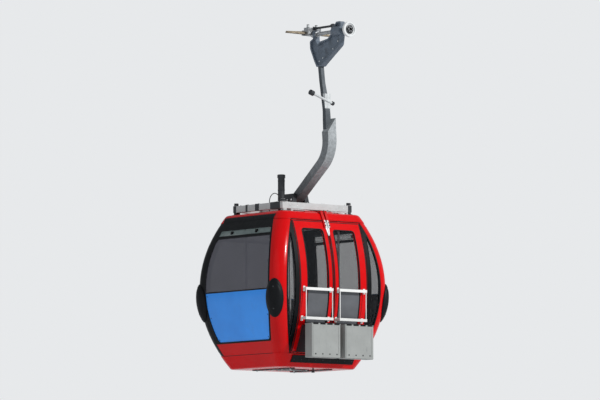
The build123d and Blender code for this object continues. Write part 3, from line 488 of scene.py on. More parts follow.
MATERIALS = {
    "red_shell": red_gloss(),
    "black_frame": coating(
        "black_trim", (0.0022, 0.0028, 0.0036), (6, 0.2), (900, 2.0, 0.0002, 0.6),
        gloss=(20, 0.34, 0.52), specular=0.14,
    ),
    "blue_panel": coating(
        "blue_sheet", (0.03, 0.3, 0.95), (1.6, 0.1), (5, 1.0, 0.0012, 0.4),
        grime=[((0.05, 0.24, 0.7), 5, 0.55, 0.8, 0.35)], gloss=(8, 0.1, 0.24), coat=0.25, specular=0.3,
    ),
    "tinted_glass": tinted_acrylic("grey_acrylic", (0.085, 0.082, 0.104), 0.8),
    "vent_grey": coating(
        "vent_pane", (0.27, 0.335, 0.325), (12, 0.12), (500, 2.0, 0.0002, 0.5),
        blended=True, roughness=0.4, alpha=0.5,
    ),
    "grip_steel": coating(
        "machined_steel", (0.42, 0.43, 0.44), (15, 0.15), (300, 2.0, 0.0002, 0.4, (8, 0.2, 8)),
        grime=[((0.05, 0.045, 0.04), 14, 0.55, 0.75, 0.8)], gloss=(60, 0.22, 0.42), metallic=0.9,
    ),
    "dark_steel": coating(
        "dark_steel", (0.035, 0.038, 0.042), (12, 0.25), (220, 3.0, 0.0004, 0.6),
        grime=[((0.16, 0.11, 0.08), 26, 0.66, 0.76, 0.5)], gloss=(24, 0.3, 0.6), metallic=0.3,
    ),
    "light_steel": galvanised("zinc_fittings", (0.66, 0.68, 0.68), 0.1, 0.25),
    "guide_tan": coating(
        "rope_polymer", (0.3, 0.235, 0.15), (20, 0.25), (120, 4.0, 0.0006, 0.7),
        grime=[((0.035, 0.03, 0.025), 16, 0.45, 0.65, 0.85)], roughness=0.6,
    ),
    "wheel_white": coating(
        "white_polyamide", (0.74, 0.75, 0.75), (10, 0.05), (250, 3.0, 0.0003, 0.5),
        grime=[((0.22, 0.21, 0.2), 22, 0.58, 0.78, 0.6)], roughness=0.42,
    ),
    "fork_casting": coating(
        "cast_paint", (0.115, 0.145, 0.185), (7, 0.16), (160, 4.0, 0.0008, 0.7),
        grime=[((0.02, 0.02, 0.022), 6, 0.52, 0.72, 0.75), ((0.36, 0.37, 0.38), 60, 0.66, 0.72, 0.6)],
        gloss=(18, 0.32, 0.6),
    ),
    # Hanger beam: painted shade low down and on its side faces
    "hanger_grey": galvanised(
        "zinc_hanger", (0.32, 0.34, 0.35), 0.16, 0.15, (-2.5, -1.95), HANGER_HALF - 0.003
    ),
    "neck_grey": coating(
        "neck_paint", (0.055, 0.066, 0.076), (8, 0.2), (150, 3.0, 0.0005, 0.6),
        grime=[((0.22, 0.23, 0.24), 34, 0.66, 0.74, 0.5)], gloss=(20, 0.32, 0.55), metallic=0.2,
    ),
    "frame_alloy": coating(
        "satin_alloy", (0.52, 0.53, 0.525), (3, 0.08), (240, 2.0, 0.0002, 0.4, (0.3, 0.3, 4)),
        grime=[((0.3, 0.3, 0.29), 12, 0.55, 0.78, 0.5)], gloss=(26, 0.34, 0.55), metallic=0.2,
    ),
    "floor_alloy": ribbed_floor(),
    "black_rubber": coating(
        "moulded_rubber", (0.0018, 0.0024, 0.0036), (9, 0.3), (420, 3.0, 0.0004, 0.7),
        grime=[((0.022, 0.021, 0.02), 30, 0.58, 0.75, 0.4)], gloss=(34, 0.42, 0.66), specular=0.2,
    ),
    "bench_grey": coating(
        "bench_plastic", (0.1, 0.105, 0.115), (5, 0.15), (600, 2.0, 0.0002, 0.5), roughness=0.4,
    ),
    "box_grey": box_sheet(),
    "rack_white": coating(
        "white_paint", (0.8, 0.8, 0.78), (8, 0.04), (120, 2.0, 0.0003, 0.4),
        grime=[((0.32, 0.31, 0.29), 24, 0.62, 0.78, 0.6)], roughness=0.36, coat=0.2,
    ),
}


def dress_nodes():
    """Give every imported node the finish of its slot; some windows and the door straps have their own."""
    clear = tinted_acrylic("clear_acrylic", (0.02, 0.022, 0.026), 0.18, 0.5)
    pale = tinted_acrylic("pale_acrylic", (0.045, 0.045, 0.055), 0.42, 0.7)
    straps = strap_paint_and_highlight()
    own = {
        "door_glass_left": clear, "door_glass_right": clear,
        "side_glass_left": clear, "side_glass_right": clear,
        "end_glass_right": pale, "back_glass": pale,
        "door_bracket_left": straps, "door_bracket_right": straps,
    }
    for part in frame["record"]["subparts"]:
        mesh = frame["nodes"][part["node"]].data
        mesh.materials.clear()
        mesh.materials.append(own.get(part["node"]) or MATERIALS[part["material_slot"]])


def circle(count, shift=0.0):
    """Cosine and sine of equal steps round a circle, begun a share of a step later."""
    turns = [math.tau * (k + shift) / count for k in range(count)]
    return [(math.cos(turn), math.sin(turn)) for turn in turns]


def bands(rows, size, first=0, closed=False):
    """Quads between rows of points round a section, as numbers of the points."""
    faces = []
    for row in range(rows if closed else rows - 1):
        here, there = first + row * size, first + (row + 1) % rows * size
        for k in range(size):
            after = (k + 1) % size
            faces.append((here + k, there + k, there + after, here + after))
    return faces


def grid(rows, columns, first=0):
    """Quads of a grid of points, as numbers of the points."""
    wide = columns + 1
    corners = [first + row * wide + k for row in range(rows) for k in range(columns)]
    return [(a, a + 1, a + wide + 1, a + wide) for a in corners]


class Shape:
    """Gathers the faces of one piece, in the part's frame."""

    def __init__(self):
        self.verts = []
        self.faces = []

    def add(self, verts, faces):
        base = len(self.verts)
        self.verts += [Vector(v) for v in verts]
        self.faces += [[base + index for index in face] for face in faces]

    def box(self, centre, size, turn=None):
        """Box about a centre, turned by a matrix."""
        verts = []
        for z in (-0.5, 0.5):
            for y in (-0.5, 0.5):
                for x in (-0.5, 0.5):
                    offset = Vector((x * size[0], y * size[1], z * size[2]))
                    verts.append(Vector(centre) + (turn @ offset if turn else offset))
        self.add(verts, BOX_FACES)

    def turned(self, start, axis, profile, sides=20):
        """Surface of revolution: profile holds (distance along the axis, radius)."""
        axis = Vector(axis).normalized()
        across = axis.orthogonal().normalized()
        other = axis.cross(across)
        verts = []
        for along, radius in profile:
            centre = Vector(start) + axis * along
            verts += [centre + radius * (cos * across + sin * other) for cos, sin in circle(sides)]
        last = (len(profile) - 1) * sides
        lids = [tuple(range(sides - 1, -1, -1)), tuple(range(last, last + sides))]
        self.add(verts, bands(len(profile), sides) + lids)

    def rod(self, start, end, radius, sides):
        """Round rod between two points."""
        reach = Vector(end) - Vector(start)
        self.turned(start, reach, [(0, radius), (reach.length, radius)], sides)

    def chain(self, points, radius, sides):
        """Bent rod through points."""
        for start, end in zip(points, points[1:]):
            self.rod(start, end, radius, sides)

    def bolt(self, place, axis, radius):
        """Washer, hexagon head and the thread's end above it."""
        top = Vector(place) + Vector(axis).normalized() * WASHER_THICK * radius
        for start, section, sides in ((place, WASHER, 20), (top, HEAD, 6), (top, THREAD, 12)):
            self.turned(start, axis, [(along * radius, out * radius) for along, out in section], sides)

    def rivet(self, place, axis, radius):
        self.turned(place, axis, [(along * radius, out * radius) for along, out in RIVET], 12)

    def sweep(self, path, profile, closed=False):
        """Profile of (across, out) carried along a path of (point, outward direction)."""
        count = len(path)
        verts = []
        for index, (point, out) in enumerate(path):
            before = path[(index - 1) % count][0] if closed or index else point
            after = path[(index + 1) % count][0] if closed or index < count - 1 else point
            across = (after - before).normalized().cross(out).normalized()
            verts += [point + across * a + out * o for a, o in profile]
        size = len(profile)
        faces = bands(count, size, closed=closed)
        if not closed:
            last = (count - 1) * size
            faces += [tuple(range(size)), tuple(range(last + size - 1, last - 1, -1))]
        self.add(verts, faces)

    def finish(self, name, slot_name, body="cabin", bevel=0.0, sharp=35):
        """Make the piece, ride it on a body and give it the finish of a slot."""
        mesh = bpy.data.meshes.new(name)
        mesh.from_pydata(self.verts, [], self.faces)
        form = bmesh.new()
        form.from_mesh(mesh)
        bmesh.ops.recalc_face_normals(form, faces=form.faces)
        form.to_mesh(mesh)
        form.free()
        mesh.polygons.foreach_set("use_smooth", [True] * len(mesh.polygons))
        mesh.set_sharp_from_angle(angle=math.radians(sharp))
        mesh.materials.append(MATERIALS[slot_name])
        piece = new_object(name, mesh)
        if bevel:
            rounding = piece.modifiers.new("edges", "BEVEL")
            rounding.width = bevel
            rounding.segments = 2
            rounding.limit_method = "ANGLE"
        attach(piece, body)
        return piece


def shapes(count):
    return [Shape() for _ in range(count)]


def spread(low, high, steps):
    """Equal steps from one value to another, both with them."""
    return [low + (high - low) * k / steps for k in range(steps + 1)]


def sided(side, near, far):
    """Two distances from the middle as places along X on one side, in order."""
    return tuple(sorted((side * near, side * far)))


def skin(face, side, along, height, out=0.0):
    """Point on one face of the body, moved outwards, and the outward direction there."""
    barrel = ENDS if face == "end" else SIDES
    radius, rise = arc_at(barrel, height)
    up = rise / radius
    level = math.sqrt(1 - up ** 2)
    reach = half_at(barrel, height) + out * level
    z = Z_BOTTOM + height + out * up
    if face == "end":
        return Vector((side * reach, CABIN_Y + along, z)), Vector((side * level, 0, up))
    return Vector((along, CABIN_Y + side * reach, z)), Vector((0, side * level, up))


def on_front(along, height, out=0.0):
    return skin("side", -1, along, height, out)


def level_path(face, side, ends, height, steps, out=0.0):
    """Path across a face of the body at one height, between two places along it."""
    return [skin(face, side, along, height, out) for along in spread(*ends, steps)]


def body_ring(height):
    """Path all round the body at one height."""
    path = []
    for quarter, (x_side, y_side) in enumerate(((1, 1), (-1, 1), (-1, -1), (1, -1))):
        centre = corner_centre(x_side, y_side, height)
        for step in range(9):
            turn = math.pi / 2 * (quarter + step / 8)
            direction = Vector((math.cos(turn), math.sin(turn), 0))
            path.append((centre + direction * CORNER, direction))
    return path


def flank_edges(face, near_cut, far_cut):
    """Edges of a window that follow the body's flanks, as a function of height."""
    other = SIDES if face == "end" else ENDS
    return lambda height: (-half_at(other, height) + near_cut, half_at(other, height) - far_cut)


def rounding_steps(radius):
    """Distances from an edge for the rows of points in a rounded corner."""
    return [radius * (1 - math.cos(math.pi / 2 * k / 6)) for k in range(7)]


def outline(edges, low, high, corner):
    """Closed outline of (along, height) between two edges, with rounded corners."""
    steps = rounding_steps(corner) if corner else [0]
    middle = spread(low + corner, high - corner, 24)[1:-1]
    heights = [low + step for step in steps] + middle + [high - step for step in reversed(steps)]
    left, right = [], []
    for height in heights:
        near = min(height - low, high - height)
        inset = corner - math.sqrt(max(0, corner ** 2 - (corner - near) ** 2)) if near < corner else 0
        first, last = edges(height)
        left.append((first + inset, height))
        right.append((last - inset, height))
    return right + left[::-1]


def slab(shape, face, side, edges, heights, out, thick, columns=6):
    """Thin closed sheet on one face of the body, from its outer surface inwards, between edges."""
    wide = columns + 1
    count = len(heights) * wide
    verts = []
    for depth in (out, out - thick):
        for height in heights:
            verts += [point for point, _ in level_path(face, side, edges(height), height, columns, depth)]
    faces = grid(len(heights) - 1, columns) + grid(len(heights) - 1, columns, count)
    for row in range(len(heights) - 1):
        for a in (row * wide, row * wide + columns):
            faces.append((a, a + wide, count + a + wide, count + a))
    for a in (0, (len(heights) - 1) * wide):
        faces += [(a + k, a + k + 1, count + a + k + 1, count + a + k) for k in range(columns)]
    shape.add(verts, faces)


def bead(wide, proud, depth=0.004):
    """Section of a rubber or metal bead that lies on a face."""
    flank = [(wide / 2, -depth), (wide / 2, proud * 0.4), (wide * 0.3, proud)]
    return [(-across, out) for across, out in flank] + flank[::-1]


def dress_windows():
    """Rubber beads, rails, vent ribs, latches, studs and inner linings of the three window walls."""
    rubber, ribs, rails, latches, studs, linings = shapes(6)
    far = SEAT_CUT + FRAME_WIDE
    for face, side in WINDOW_WALLS:
        near = SEAT_CUT + (FRAME_SLIM if face == "end" else FRAME_WIDE)
        edges = flank_edges(face, near - 0.004, far - 0.004)
        for low, high, corner in (
            (GLASS[0] - 0.004, GLASS[1] + 0.004, PANE_CORNER),
            (VENT[0] - 0.003, VENT[1] + 0.003, 0.006),
        ):
            path = [skin(face, side, *point) for point in outline(edges, low, high, corner)]
            rubber.sweep(path, bead(0.015, 0.0035, 0.007), closed=True)
        inner = flank_edges(face, near + PANE_LAP, far + PANE_LAP)
        rails.sweep(level_path(face, side, inner(DADO_TOP), DADO_TOP, 12, PANE_BACK), bead(0.018, 0.004))
        for height in (VENT[0] + 0.022, VENT[1] - 0.022):
            ribs.sweep(level_path(face, side, inner(height), height, 8, PANE_BACK), VENT_RIB)
        for along in (-0.28, 0.28):
            place, out = skin(face, side, along, (VENT[0] + VENT[1]) / 2, PANE_BACK)
            turn = out.to_track_quat("Z", "X").to_matrix()
            latches.box(place + out * 0.008, (0.045, 0.045, 0.018), turn)
        for height in STUD_HEIGHTS:
            for along in inner(height):
                shift = 0.02 if along < 0 else -0.02
                studs.rivet(*skin(face, side, along + shift, height, PANE_BACK), 0.008)
        heights = spread(GLASS[0] + 0.003, DADO_TOP - 0.004, 10)
        slab(linings, face, side, flank_edges(face, near, far), heights, LINING_BACK, 0.004)
        sill = flank_edges(face, SEAT_CUT + PANE_LAP, SEAT_CUT + PANE_LAP)(SKIRT_TOP)
        rails.sweep(level_path(face, side, sill, SKIRT_TOP, 12), bead(0.012, 0.0025))
    rubber.finish("window_beads", "black_rubber")
    ribs.finish("vent_ribs", "vent_grey")
    rails.finish("window_rails", "black_frame")
    latches.finish("vent_latches", "black_frame", bevel=0.004)
    studs.finish("window_studs", "black_frame")
    linings.finish("wall_linings", "black_frame")


def dress_shell():
    """Black strips over both ends as painted shade on the roof's edge, joint strips, drip rail, screws of
    the pillars and plates under the floor.
    """
    joints, drip, shade_strips, under, bolts = shapes(5)
    for height in (PAN_TOP - 0.002, HEADER_TOP):
        joints.sweep(body_ring(height), bead(0.008, 0.0015), closed=True)
    drip.sweep(body_ring(HEADER_TOP + 0.017), bead(0.016, 0.006), closed=True)
    # Black strips along the ends' roof edges: painted shade
    reach = half_at(SIDES, SHADE_STRIP_LEVEL) - CORNER + 0.02
    for side in (-1, 1):
        shade_strips.sweep(level_path("end", side, (-reach, reach), SHADE_STRIP_LEVEL, 12), bead(0.082, 0.009))
    shade_strips.finish("end_gutters", "black_rubber")
    joints.finish("shell_joints", "black_rubber")
    drip.finish("drip_rail", "red_shell")

    for y_side, name, slot_name in ((-1, "front", "red_shell"), (1, "back", "black_frame")):
        screws = Shape()
        for x_side in (-1, 1):
            direction = Vector((x_side, y_side, 0)).normalized()
            for height in (0.26, 0.5, 1.48, 1.78, 2.02):
                centre = corner_centre(x_side, y_side, height)
                screws.rivet(centre + direction * (CORNER - 0.0005), direction, 0.006)
        screws.finish(f"pillar_screws_{name}", slot_name)

    for x in (-0.34, 0.34):
        under.box((x, CABIN_Y, Z_BOTTOM - 0.006), (0.09, 0.86, 0.014))
        for k in range(5):
            bolts.bolt((x, CABIN_Y + 0.19 * (k - 2), Z_BOTTOM - 0.013), DOWN, 0.008)
    under.box((0, CABIN_Y, Z_BOTTOM - 0.004), (0.34, 0.34, 0.009))
    for x_side, y_side in BODY_CORNERS:
        bolts.bolt((x_side * 0.14, CABIN_Y + y_side * 0.14, Z_BOTTOM - 0.0085), DOWN, 0.008)
    under.finish("underfloor_plates", "dark_steel", bevel=0.002)
    bolts.finish("underfloor_bolts", "light_steel")


def dress_leaf(side, name):
    """Seals, window bead, screws, bolts, grey film, a bright meeting plate as painted highlight, and inner
    handle of a door leaf.
    """
    body = f"door_leaf_{name}"
    seals, beads, screws, bolts, film, plate, grab = shapes(7)
    foot, head = LEAF
    for along, proud in ((0.017, 0.004), (LEAF_EDGE - 0.011, 0.003)):
        path = [on_front(side * along, height) for height in spread(foot + 0.01, head - 0.01, 30)]
        seals.sweep(path, bead(0.018, proud))
    for height in (foot + 0.014, head - 0.014):
        ends = (side * 0.03, side * (LEAF_EDGE - 0.03))
        seals.sweep(level_path("side", -1, ends, height, 4), bead(0.012, 0.002))
    near, far, low, high = LIGHT
    first, last = sided(side, near, far)
    path = outline(lambda _: (first - 0.003, last + 0.003), low - 0.003, high + 0.003, PANE_CORNER)
    beads.sweep([on_front(*point) for point in path], bead(0.016, 0.004, 0.007), closed=True)
    seals.finish(f"door_seals_{name}", "black_rubber", body)
    beads.finish(f"door_bead_{name}", "black_rubber", body)

    for height in (0.24, 0.42, 2.01):
        for along in (0.06, 0.29, 0.55):
            screws.rivet(*on_front(side * along, height), 0.006)
    screws.finish(f"door_screws_{name}", "red_shell", body)
    for height in (2.0, 2.04):
        bolts.bolt(*on_front(side * 0.035, height, 0.0215), 0.006)
    plate_low, plate_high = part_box(f"door_bracket_{name}")
    for x, y in ((0.07, plate_high.y - 0.02), (0.2, plate_high.y - 0.02), (0.035, plate_low.y + 0.05)):
        bolts.bolt((side * x, y, Z_TOP + 0.018), UP, 0.006)
    bolts.finish(f"bracket_bolts_{name}", "dark_steel", body)

    round_top = low + FILM_GAP + FILM_CORNER

    def film_edges(height):
        drop = min(FILM_CORNER, max(0.0, round_top - height))
        inset = FILM_GAP + FILM_CORNER - math.sqrt(FILM_CORNER ** 2 - drop ** 2)
        return first + inset, last - inset

    rows = [low + FILM_GAP + step for step in rounding_steps(FILM_CORNER)]
    slab(film, "side", -1, film_edges, rows + spread(round_top, FILM_TOP, 8)[1:], -0.0045, 0.0013)
    film.finish(f"door_film_{name}", "bench_grey", body)

    def plate_edges(height):
        wide = 0.0135 if height > PLATE_NECK else 0.0125 + 0.19 * (height - PLATE_LOW)
        return sided(side, 0.003, wide)

    rows = spread(PLATE_LOW, PLATE_NECK - 0.001, 4) + [PLATE_NECK + 0.0005, 2.02, 2.062]
    # Bright plate by the meeting line: painted highlight
    slab(plate, "side", -1, plate_edges, rows, 0.0065, 0.006, 2)
    plate.finish(f"meeting_highlight_plate_{name}", "light_steel", body, bevel=0.001)

    rail = [on_front(side * 0.06, height, -0.075)[0] for height in spread(*GRAB, 8)]
    grab.chain(rail, 0.009, 12)
    for height, end in zip(GRAB, (rail[0], rail[-1])):
        grab.rod(end, on_front(side * 0.06, height, -0.039)[0], 0.009, 12)
    grab.finish(f"door_grab_{name}", "light_steel", body)


def dress_doors():
    """Fittings of the leaves and beads of the quarter lights beside them."""
    beads = Shape()
    for side, name in DOOR_SIDES:
        dress_leaf(side, name)
        path = outline(
            lambda height: sided(side, JAMB + 0.06, half_at(ENDS, height) - SEAT_CUT - 0.02), 0.4, 1.88, 0
        )
        beads.sweep([on_front(*point) for point in path], bead(0.012, 0.003, 0.007), closed=True)
    beads.finish("quarter_beads", "black_rubber")


def dress_box(name):
    """Rims, mouth pads, liners, rivets and drain holes of a ski box."""
    body = f"door_leaf_{name}"
    low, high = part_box(f"ski_box_{name}")
    left, right, front, foot, top = low.x, high.x, low.y, low.z, high.z
    back = front + BOX_DEPTH
    mid_x, mid_y = (left + right) / 2, (front + back) / 2
    pitch = (right - left - BOX_WALL) / BOX_SLOTS
    rims, pads, liners, rivets, drains = shapes(5)
    for k in range(BOX_SLOTS + 1):
        x = left + BOX_WALL / 2 + k * pitch
        rims.box((x, mid_y, top + 0.002), (0.013, BOX_DEPTH - 0.006, 0.008))
    for y in (front + 0.0045, back - 0.0045):
        rims.box((mid_x, y, top + 0.002), (right - left - 0.01, 0.013, 0.008))
    rims.box((mid_x, front - 0.001, foot + 0.016), (right - left - 0.03, 0.006, 0.02))
    for x in (left + 0.03, right - 0.03):
        rims.box((x, front - 0.001, (foot + top) / 2), (0.02, 0.005, top - foot - 0.08))
    for k in range(BOX_SLOTS):
        x = left + BOX_WALL / 2 + (k + 0.5) * pitch
        for y in (front + 0.006, back - 0.006):
            pads.box((x, y, top + 0.001), (pitch - 0.034, 0.022, 0.026))
        liners.box((x, mid_y, top - 0.03), (pitch - 0.0125, BOX_DEPTH - 0.018, 0.004))
        liners.box((x, mid_y, foot + 0.012), (pitch - 0.0125, BOX_DEPTH - 0.02, 0.006))
        drains.turned((x, front - 0.0006, foot + 0.05), INNER, [(0, 0.011), (0.002, 0.011)])
        for z in (foot + 0.09, top - 0.035):
            for shift in (-0.035, 0.035):
                rivets.rivet((x + shift, front, z), OUTER, 0.005)
    for x, out in ((left, -1), (right, 1)):
        for k in range(5):
            for y in (back - 0.02, front + 0.02):
                rivets.rivet((x, y, foot + 0.035 + k * 0.1), (out, 0, 0), 0.005)
    rims.finish(f"box_rims_{name}", "box_grey", body, bevel=0.0015)
    pads.finish(f"box_mouths_{name}", "black_rubber", body, bevel=0.003)
    liners.finish(f"box_liners_{name}", "black_rubber", body)
    rivets.finish(f"box_rivets_{name}", "box_grey", body)
    drains.finish(f"box_drains_{name}", "black_rubber", body)


def dress_rack(name):
    """Clips and studs that hold the rack bars."""
    clips, studs = shapes(2)
    bars_low, bars_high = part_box(f"rack_bars_{name}")
    for height in BAR_LEVELS:
        for x, inward in ((bars_low.x, 1), (bars_high.x, -1)):
            clips.box((x, bars_low.y + BAR_THICK / 2, Z_BOTTOM + height), (0.005, 0.021, 0.041))
            along = x + inward * BAR_THICK / 2
            place, out = on_front(along, height)
            turn = out.to_track_quat("Z", "Y").to_matrix()
            clips.box(place + out * 0.003, (0.036, 0.074, 0.006), turn)
            for lift in (-0.029, 0.029):
                studs.rivet(place + out * 0.006 + UP * lift, out, 0.005)
            studs.rivet((along, bars_low.y, Z_BOTTOM + height), OUTER, 0.005)
    clips.finish(f"rack_clips_{name}", "rack_white", f"door_leaf_{name}", bevel=0.0012)
    studs.finish(f"rack_studs_{name}", "rack_white", f"door_leaf_{name}")


def cushion(name, centre, size, turn):
    """Padded cushion: crowned, with rounded edges and sewn channels across it."""
    long, deep, thick = size
    columns, rows = 48, 22
    verts, faces = [], []
    for skin_side in (1, -1):
        faces += grid(columns, rows, len(verts))
        for i in range(columns + 1):
            for j in range(rows + 1):
                u, v = i / columns * 2 - 1, j / rows * 2 - 1
                round_off = (1 - abs(u) ** 8) ** 0.5 * (1 - abs(v) ** 8) ** 0.5
                crown = 0.72 + 0.28 * (1 - u * u) * (1 - v * v)
                seam = abs(math.sin(math.pi * CUSHION_CHANNELS * (u + 1) / 2)) ** 0.35
                lift = thick * round_off * (crown * (0.78 + 0.22 * seam) if skin_side > 0 else 0.35)
                pull = 1 - 0.015 * (1 - v * v)
                verts.append(Vector((u * long / 2 * pull, v * deep / 2, skin_side * lift / 2)))
    shape = Shape()
    shape.add([Vector(centre) + turn @ v for v in verts], faces)
    piece = shape.finish(name, "bench_grey", sharp=60)
    form = bmesh.new()
    form.from_mesh(piece.data)
    bmesh.ops.remove_doubles(form, verts=form.verts, dist=0.0004)
    form.to_mesh(piece.data)
    form.free()


def dress_inside():
    """Seat and back cushions of the two benches, seen through the windows."""
    wide = 2 * (half_at(SIDES, PAN_TOP) - 0.06)
    along_bench = Matrix.Rotation(math.pi / 2, 3, "Z")
    slope = math.atan2(0.015, 0.33)
    lean = math.atan2(0.042, 0.425)
    for side, name in DOOR_SIDES:
        seat_turn = Matrix.Rotation(side * slope, 3, "Y") @ along_bench
        back_turn = Matrix.Rotation(side * (lean - math.pi / 2), 3, "Y") @ along_bench
        for k in range(SEATS):
            y = CABIN_Y + wide * ((k + 0.5) / SEATS - 0.5)
            for kind, x, height, thick, turn in (
                ("seat", 0.695, 0.629, 0.046, seat_turn),
                ("back", 0.868, 0.85, 0.042, back_turn),
            ):
                size = (wide / SEATS - 0.008, 0.27, thick)
                cushion(f"{kind}_pad_{name}_{k + 1}", (side * x, y, Z_BOTTOM + height), size, turn)


def dress_roof():
    """Bolts, plates, clamps and pads of the roof frame, the mast's rings and wire, the door gear's seats."""
    bolts, plates, dark, pads, gear = shapes(5)
    low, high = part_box("roof_frame")
    half_x, half_y = (high.x - low.x) / 2, (high.y - low.y) / 2
    beam_x, beam_y = half_x - 0.03, half_y - 0.03
    top = Z_TOP + FRAME_TOP
    for x_side, y_side in BODY_CORNERS:
        x, y = x_side * beam_x, CABIN_Y + y_side * beam_y
        bolts.bolt((x - x_side * 0.07, y, top), UP, 0.009)
        bolts.bolt((x, y - y_side * 0.105, top), UP, 0.009)
        pads.box((x - x_side * 0.015, y, Z_TOP + 0.0055), (0.1, 0.1, 0.011))
        bolts.bolt((x - x_side * 0.057, y, Z_TOP + 0.011), UP, 0.006)
        plates.turned((x, y, top), UP, [(0, 0.045), (0.004, 0.045), (0.006, 0.031)], 28)
        knob = [(0.006, 0.0306), (0.012, 0.0318), (0.038, 0.0318), (0.0424, 0.028)]
        dark.turned((x, y, top), UP, knob, 28)
    for x_side, y_side in BODY_CORNERS:
        x = x_side * FRAME_CROSS
        for shift in (-0.02, 0.02):
            bolts.bolt((x + shift, CABIN_Y + y_side * beam_y, top), UP, 0.007)
        plates.box((x, CABIN_Y + y_side * (half_y - 0.072), top - 0.046), (0.066, 0.016, 0.08))
    for x_side, y_side in BODY_CORNERS[1:]:
        x, y = x_side * beam_x, CABIN_Y + y_side * beam_y
        dark.box((x, y, top - 0.045), (0.065, 0.065, 0.098))
        dark.box((x - x_side * 0.012, y, Z_TOP + 0.025), (0.064, 0.064, 0.028))
    for y, long in ((-0.395, 0.22), (0.02, 0.085), (0.26, 0.04)):
        dark.box((-beam_x, CABIN_Y + y, top - 0.045), (0.067, long, 0.1))
        bolts.bolt((-beam_x, CABIN_Y + y, top + 0.005), UP, 0.007)
    for y_side in (-1, 1):
        for k in (-4, -3, -2, 0, 2, 3, 4):
            place = (RIVET_PITCH * k, CABIN_Y + y_side * half_y, top - 0.046)
            bolts.rivet(place, (0, y_side, 0), 0.007)
    for k in range(8):
        bolts.rivet((half_x, CABIN_Y + RIVET_PITCH * (k - 3.5), top - 0.046), (1, 0, 0), 0.007)

    mast_low, mast_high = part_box("roof_mast")
    mast = Vector(((mast_low.x + mast_high.x) / 2, (mast_low.y + mast_high.y) / 2, Z_TOP))
    for cos, sin in circle(6):
        bolts.bolt(mast + Vector((0.067 * cos, 0.067 * sin, 0.012)), UP, 0.006)
    for height in (0.19, 0.33, 0.46):
        ring = [(height, 0.0495), (height + 0.003, 0.053), (height + 0.009, 0.053), (height + 0.012, 0.0495)]
        dark.turned(mast, UP, ring, 32)
    cap = [(-0.002, 0.05), (0.004, 0.048), (0.006, 0.036)]
    dark.turned((mast.x, mast.y, mast_high.z), UP, cap, 32)
    wire = [Vector((-0.23, -0.02, 0))]
    for turn in spread(0, math.pi, 24):
        wire.append(Vector((-0.13 - 0.1 * math.cos(turn), -0.02, FRAME_TOP + 0.02 + 0.13 * math.sin(turn))))
    wire.append(Vector((-0.03, -0.02, FRAME_TOP)))
    dark.chain([mast + point for point in wire], 0.006, 10)
    bolts.finish("roof_bolts", "light_steel")
    plates.finish("frame_plates", "frame_alloy", bevel=0.002)
    dark.finish("frame_clamps", "dark_steel")
    pads.finish("frame_pads", "black_rubber", bevel=0.002)

    for side, name in DOOR_SIDES:
        for arm in (f"door_arm_{name}", f"door_link_{name}"):
            arm_low, arm_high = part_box(arm)
            x = side * (max(abs(arm_low.x), abs(arm_high.x)) - 0.016)
            seat = [(0, 0.024), (0.004, 0.024), (0.006, 0.0162)]
            gear.turned((x, arm_low.y + 0.016, Z_TOP), UP, seat, 24)
    gear.finish("gear_seats", "light_steel")


def dress_hanger():
    """Bolts of the foot and the fork, the foot's caps, the cross bar's sleeves and the fork's faces."""
    bolts, dark, faces = shapes(3)
    foot_low, foot_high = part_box("hanger_foot")
    foot_y = (foot_low.y + foot_high.y) / 2
    for side in (-1, 1):
        for y in (-0.09, 0, 0.09):
            bolts.bolt((side * 0.147, foot_y + y, Z_TOP + 0.207), (side * 0.97, 0, 0.24), 0.01)
        cap = [(0, 0.034), (0.012, 0.034), (0.016, 0.028)]
        dark.turned((side * 0.125, 0.32, Z_TOP + 0.205), (side, 0, 0), cap, 28)
        for y, z in ((-0.24, -0.4), (-0.32, -0.36), (-0.55, -0.25), (-0.66, -0.15)):
            bolts.rivet((side * 0.038, y, z), (side, 0, 0), 0.01)
    fall = math.radians(CROSSBAR_FALL)
    along = Vector((math.cos(fall), 0, -math.sin(fall)))
    middle = Vector((0, CROSSBAR_Y, CROSSBAR_Z))
    for start, long, radius in ((-0.339, 0.06, 0.038), (0.074, 0.034, 0.028)):
        sleeve = [(-0.002, radius - 0.005), (0, radius), (long, radius), (long + 0.002, radius - 0.004)]
        dark.turned(middle + along * start, along, sleeve, 32)
    bolts.finish("hanger_bolts", "light_steel")
    dark.finish("foot_caps", "dark_steel")
    for y, axis, radius in ((-0.153, OUTER, 0.052), (-0.536, INNER, 0.074)):
        face = [(-0.001, radius - 0.004), (0.004, radius - 0.006), (0.004, 0.0275)]
        faces.turned((0, y, 0), axis, face, 40)
    faces.finish("fork_faces", "grip_steel")


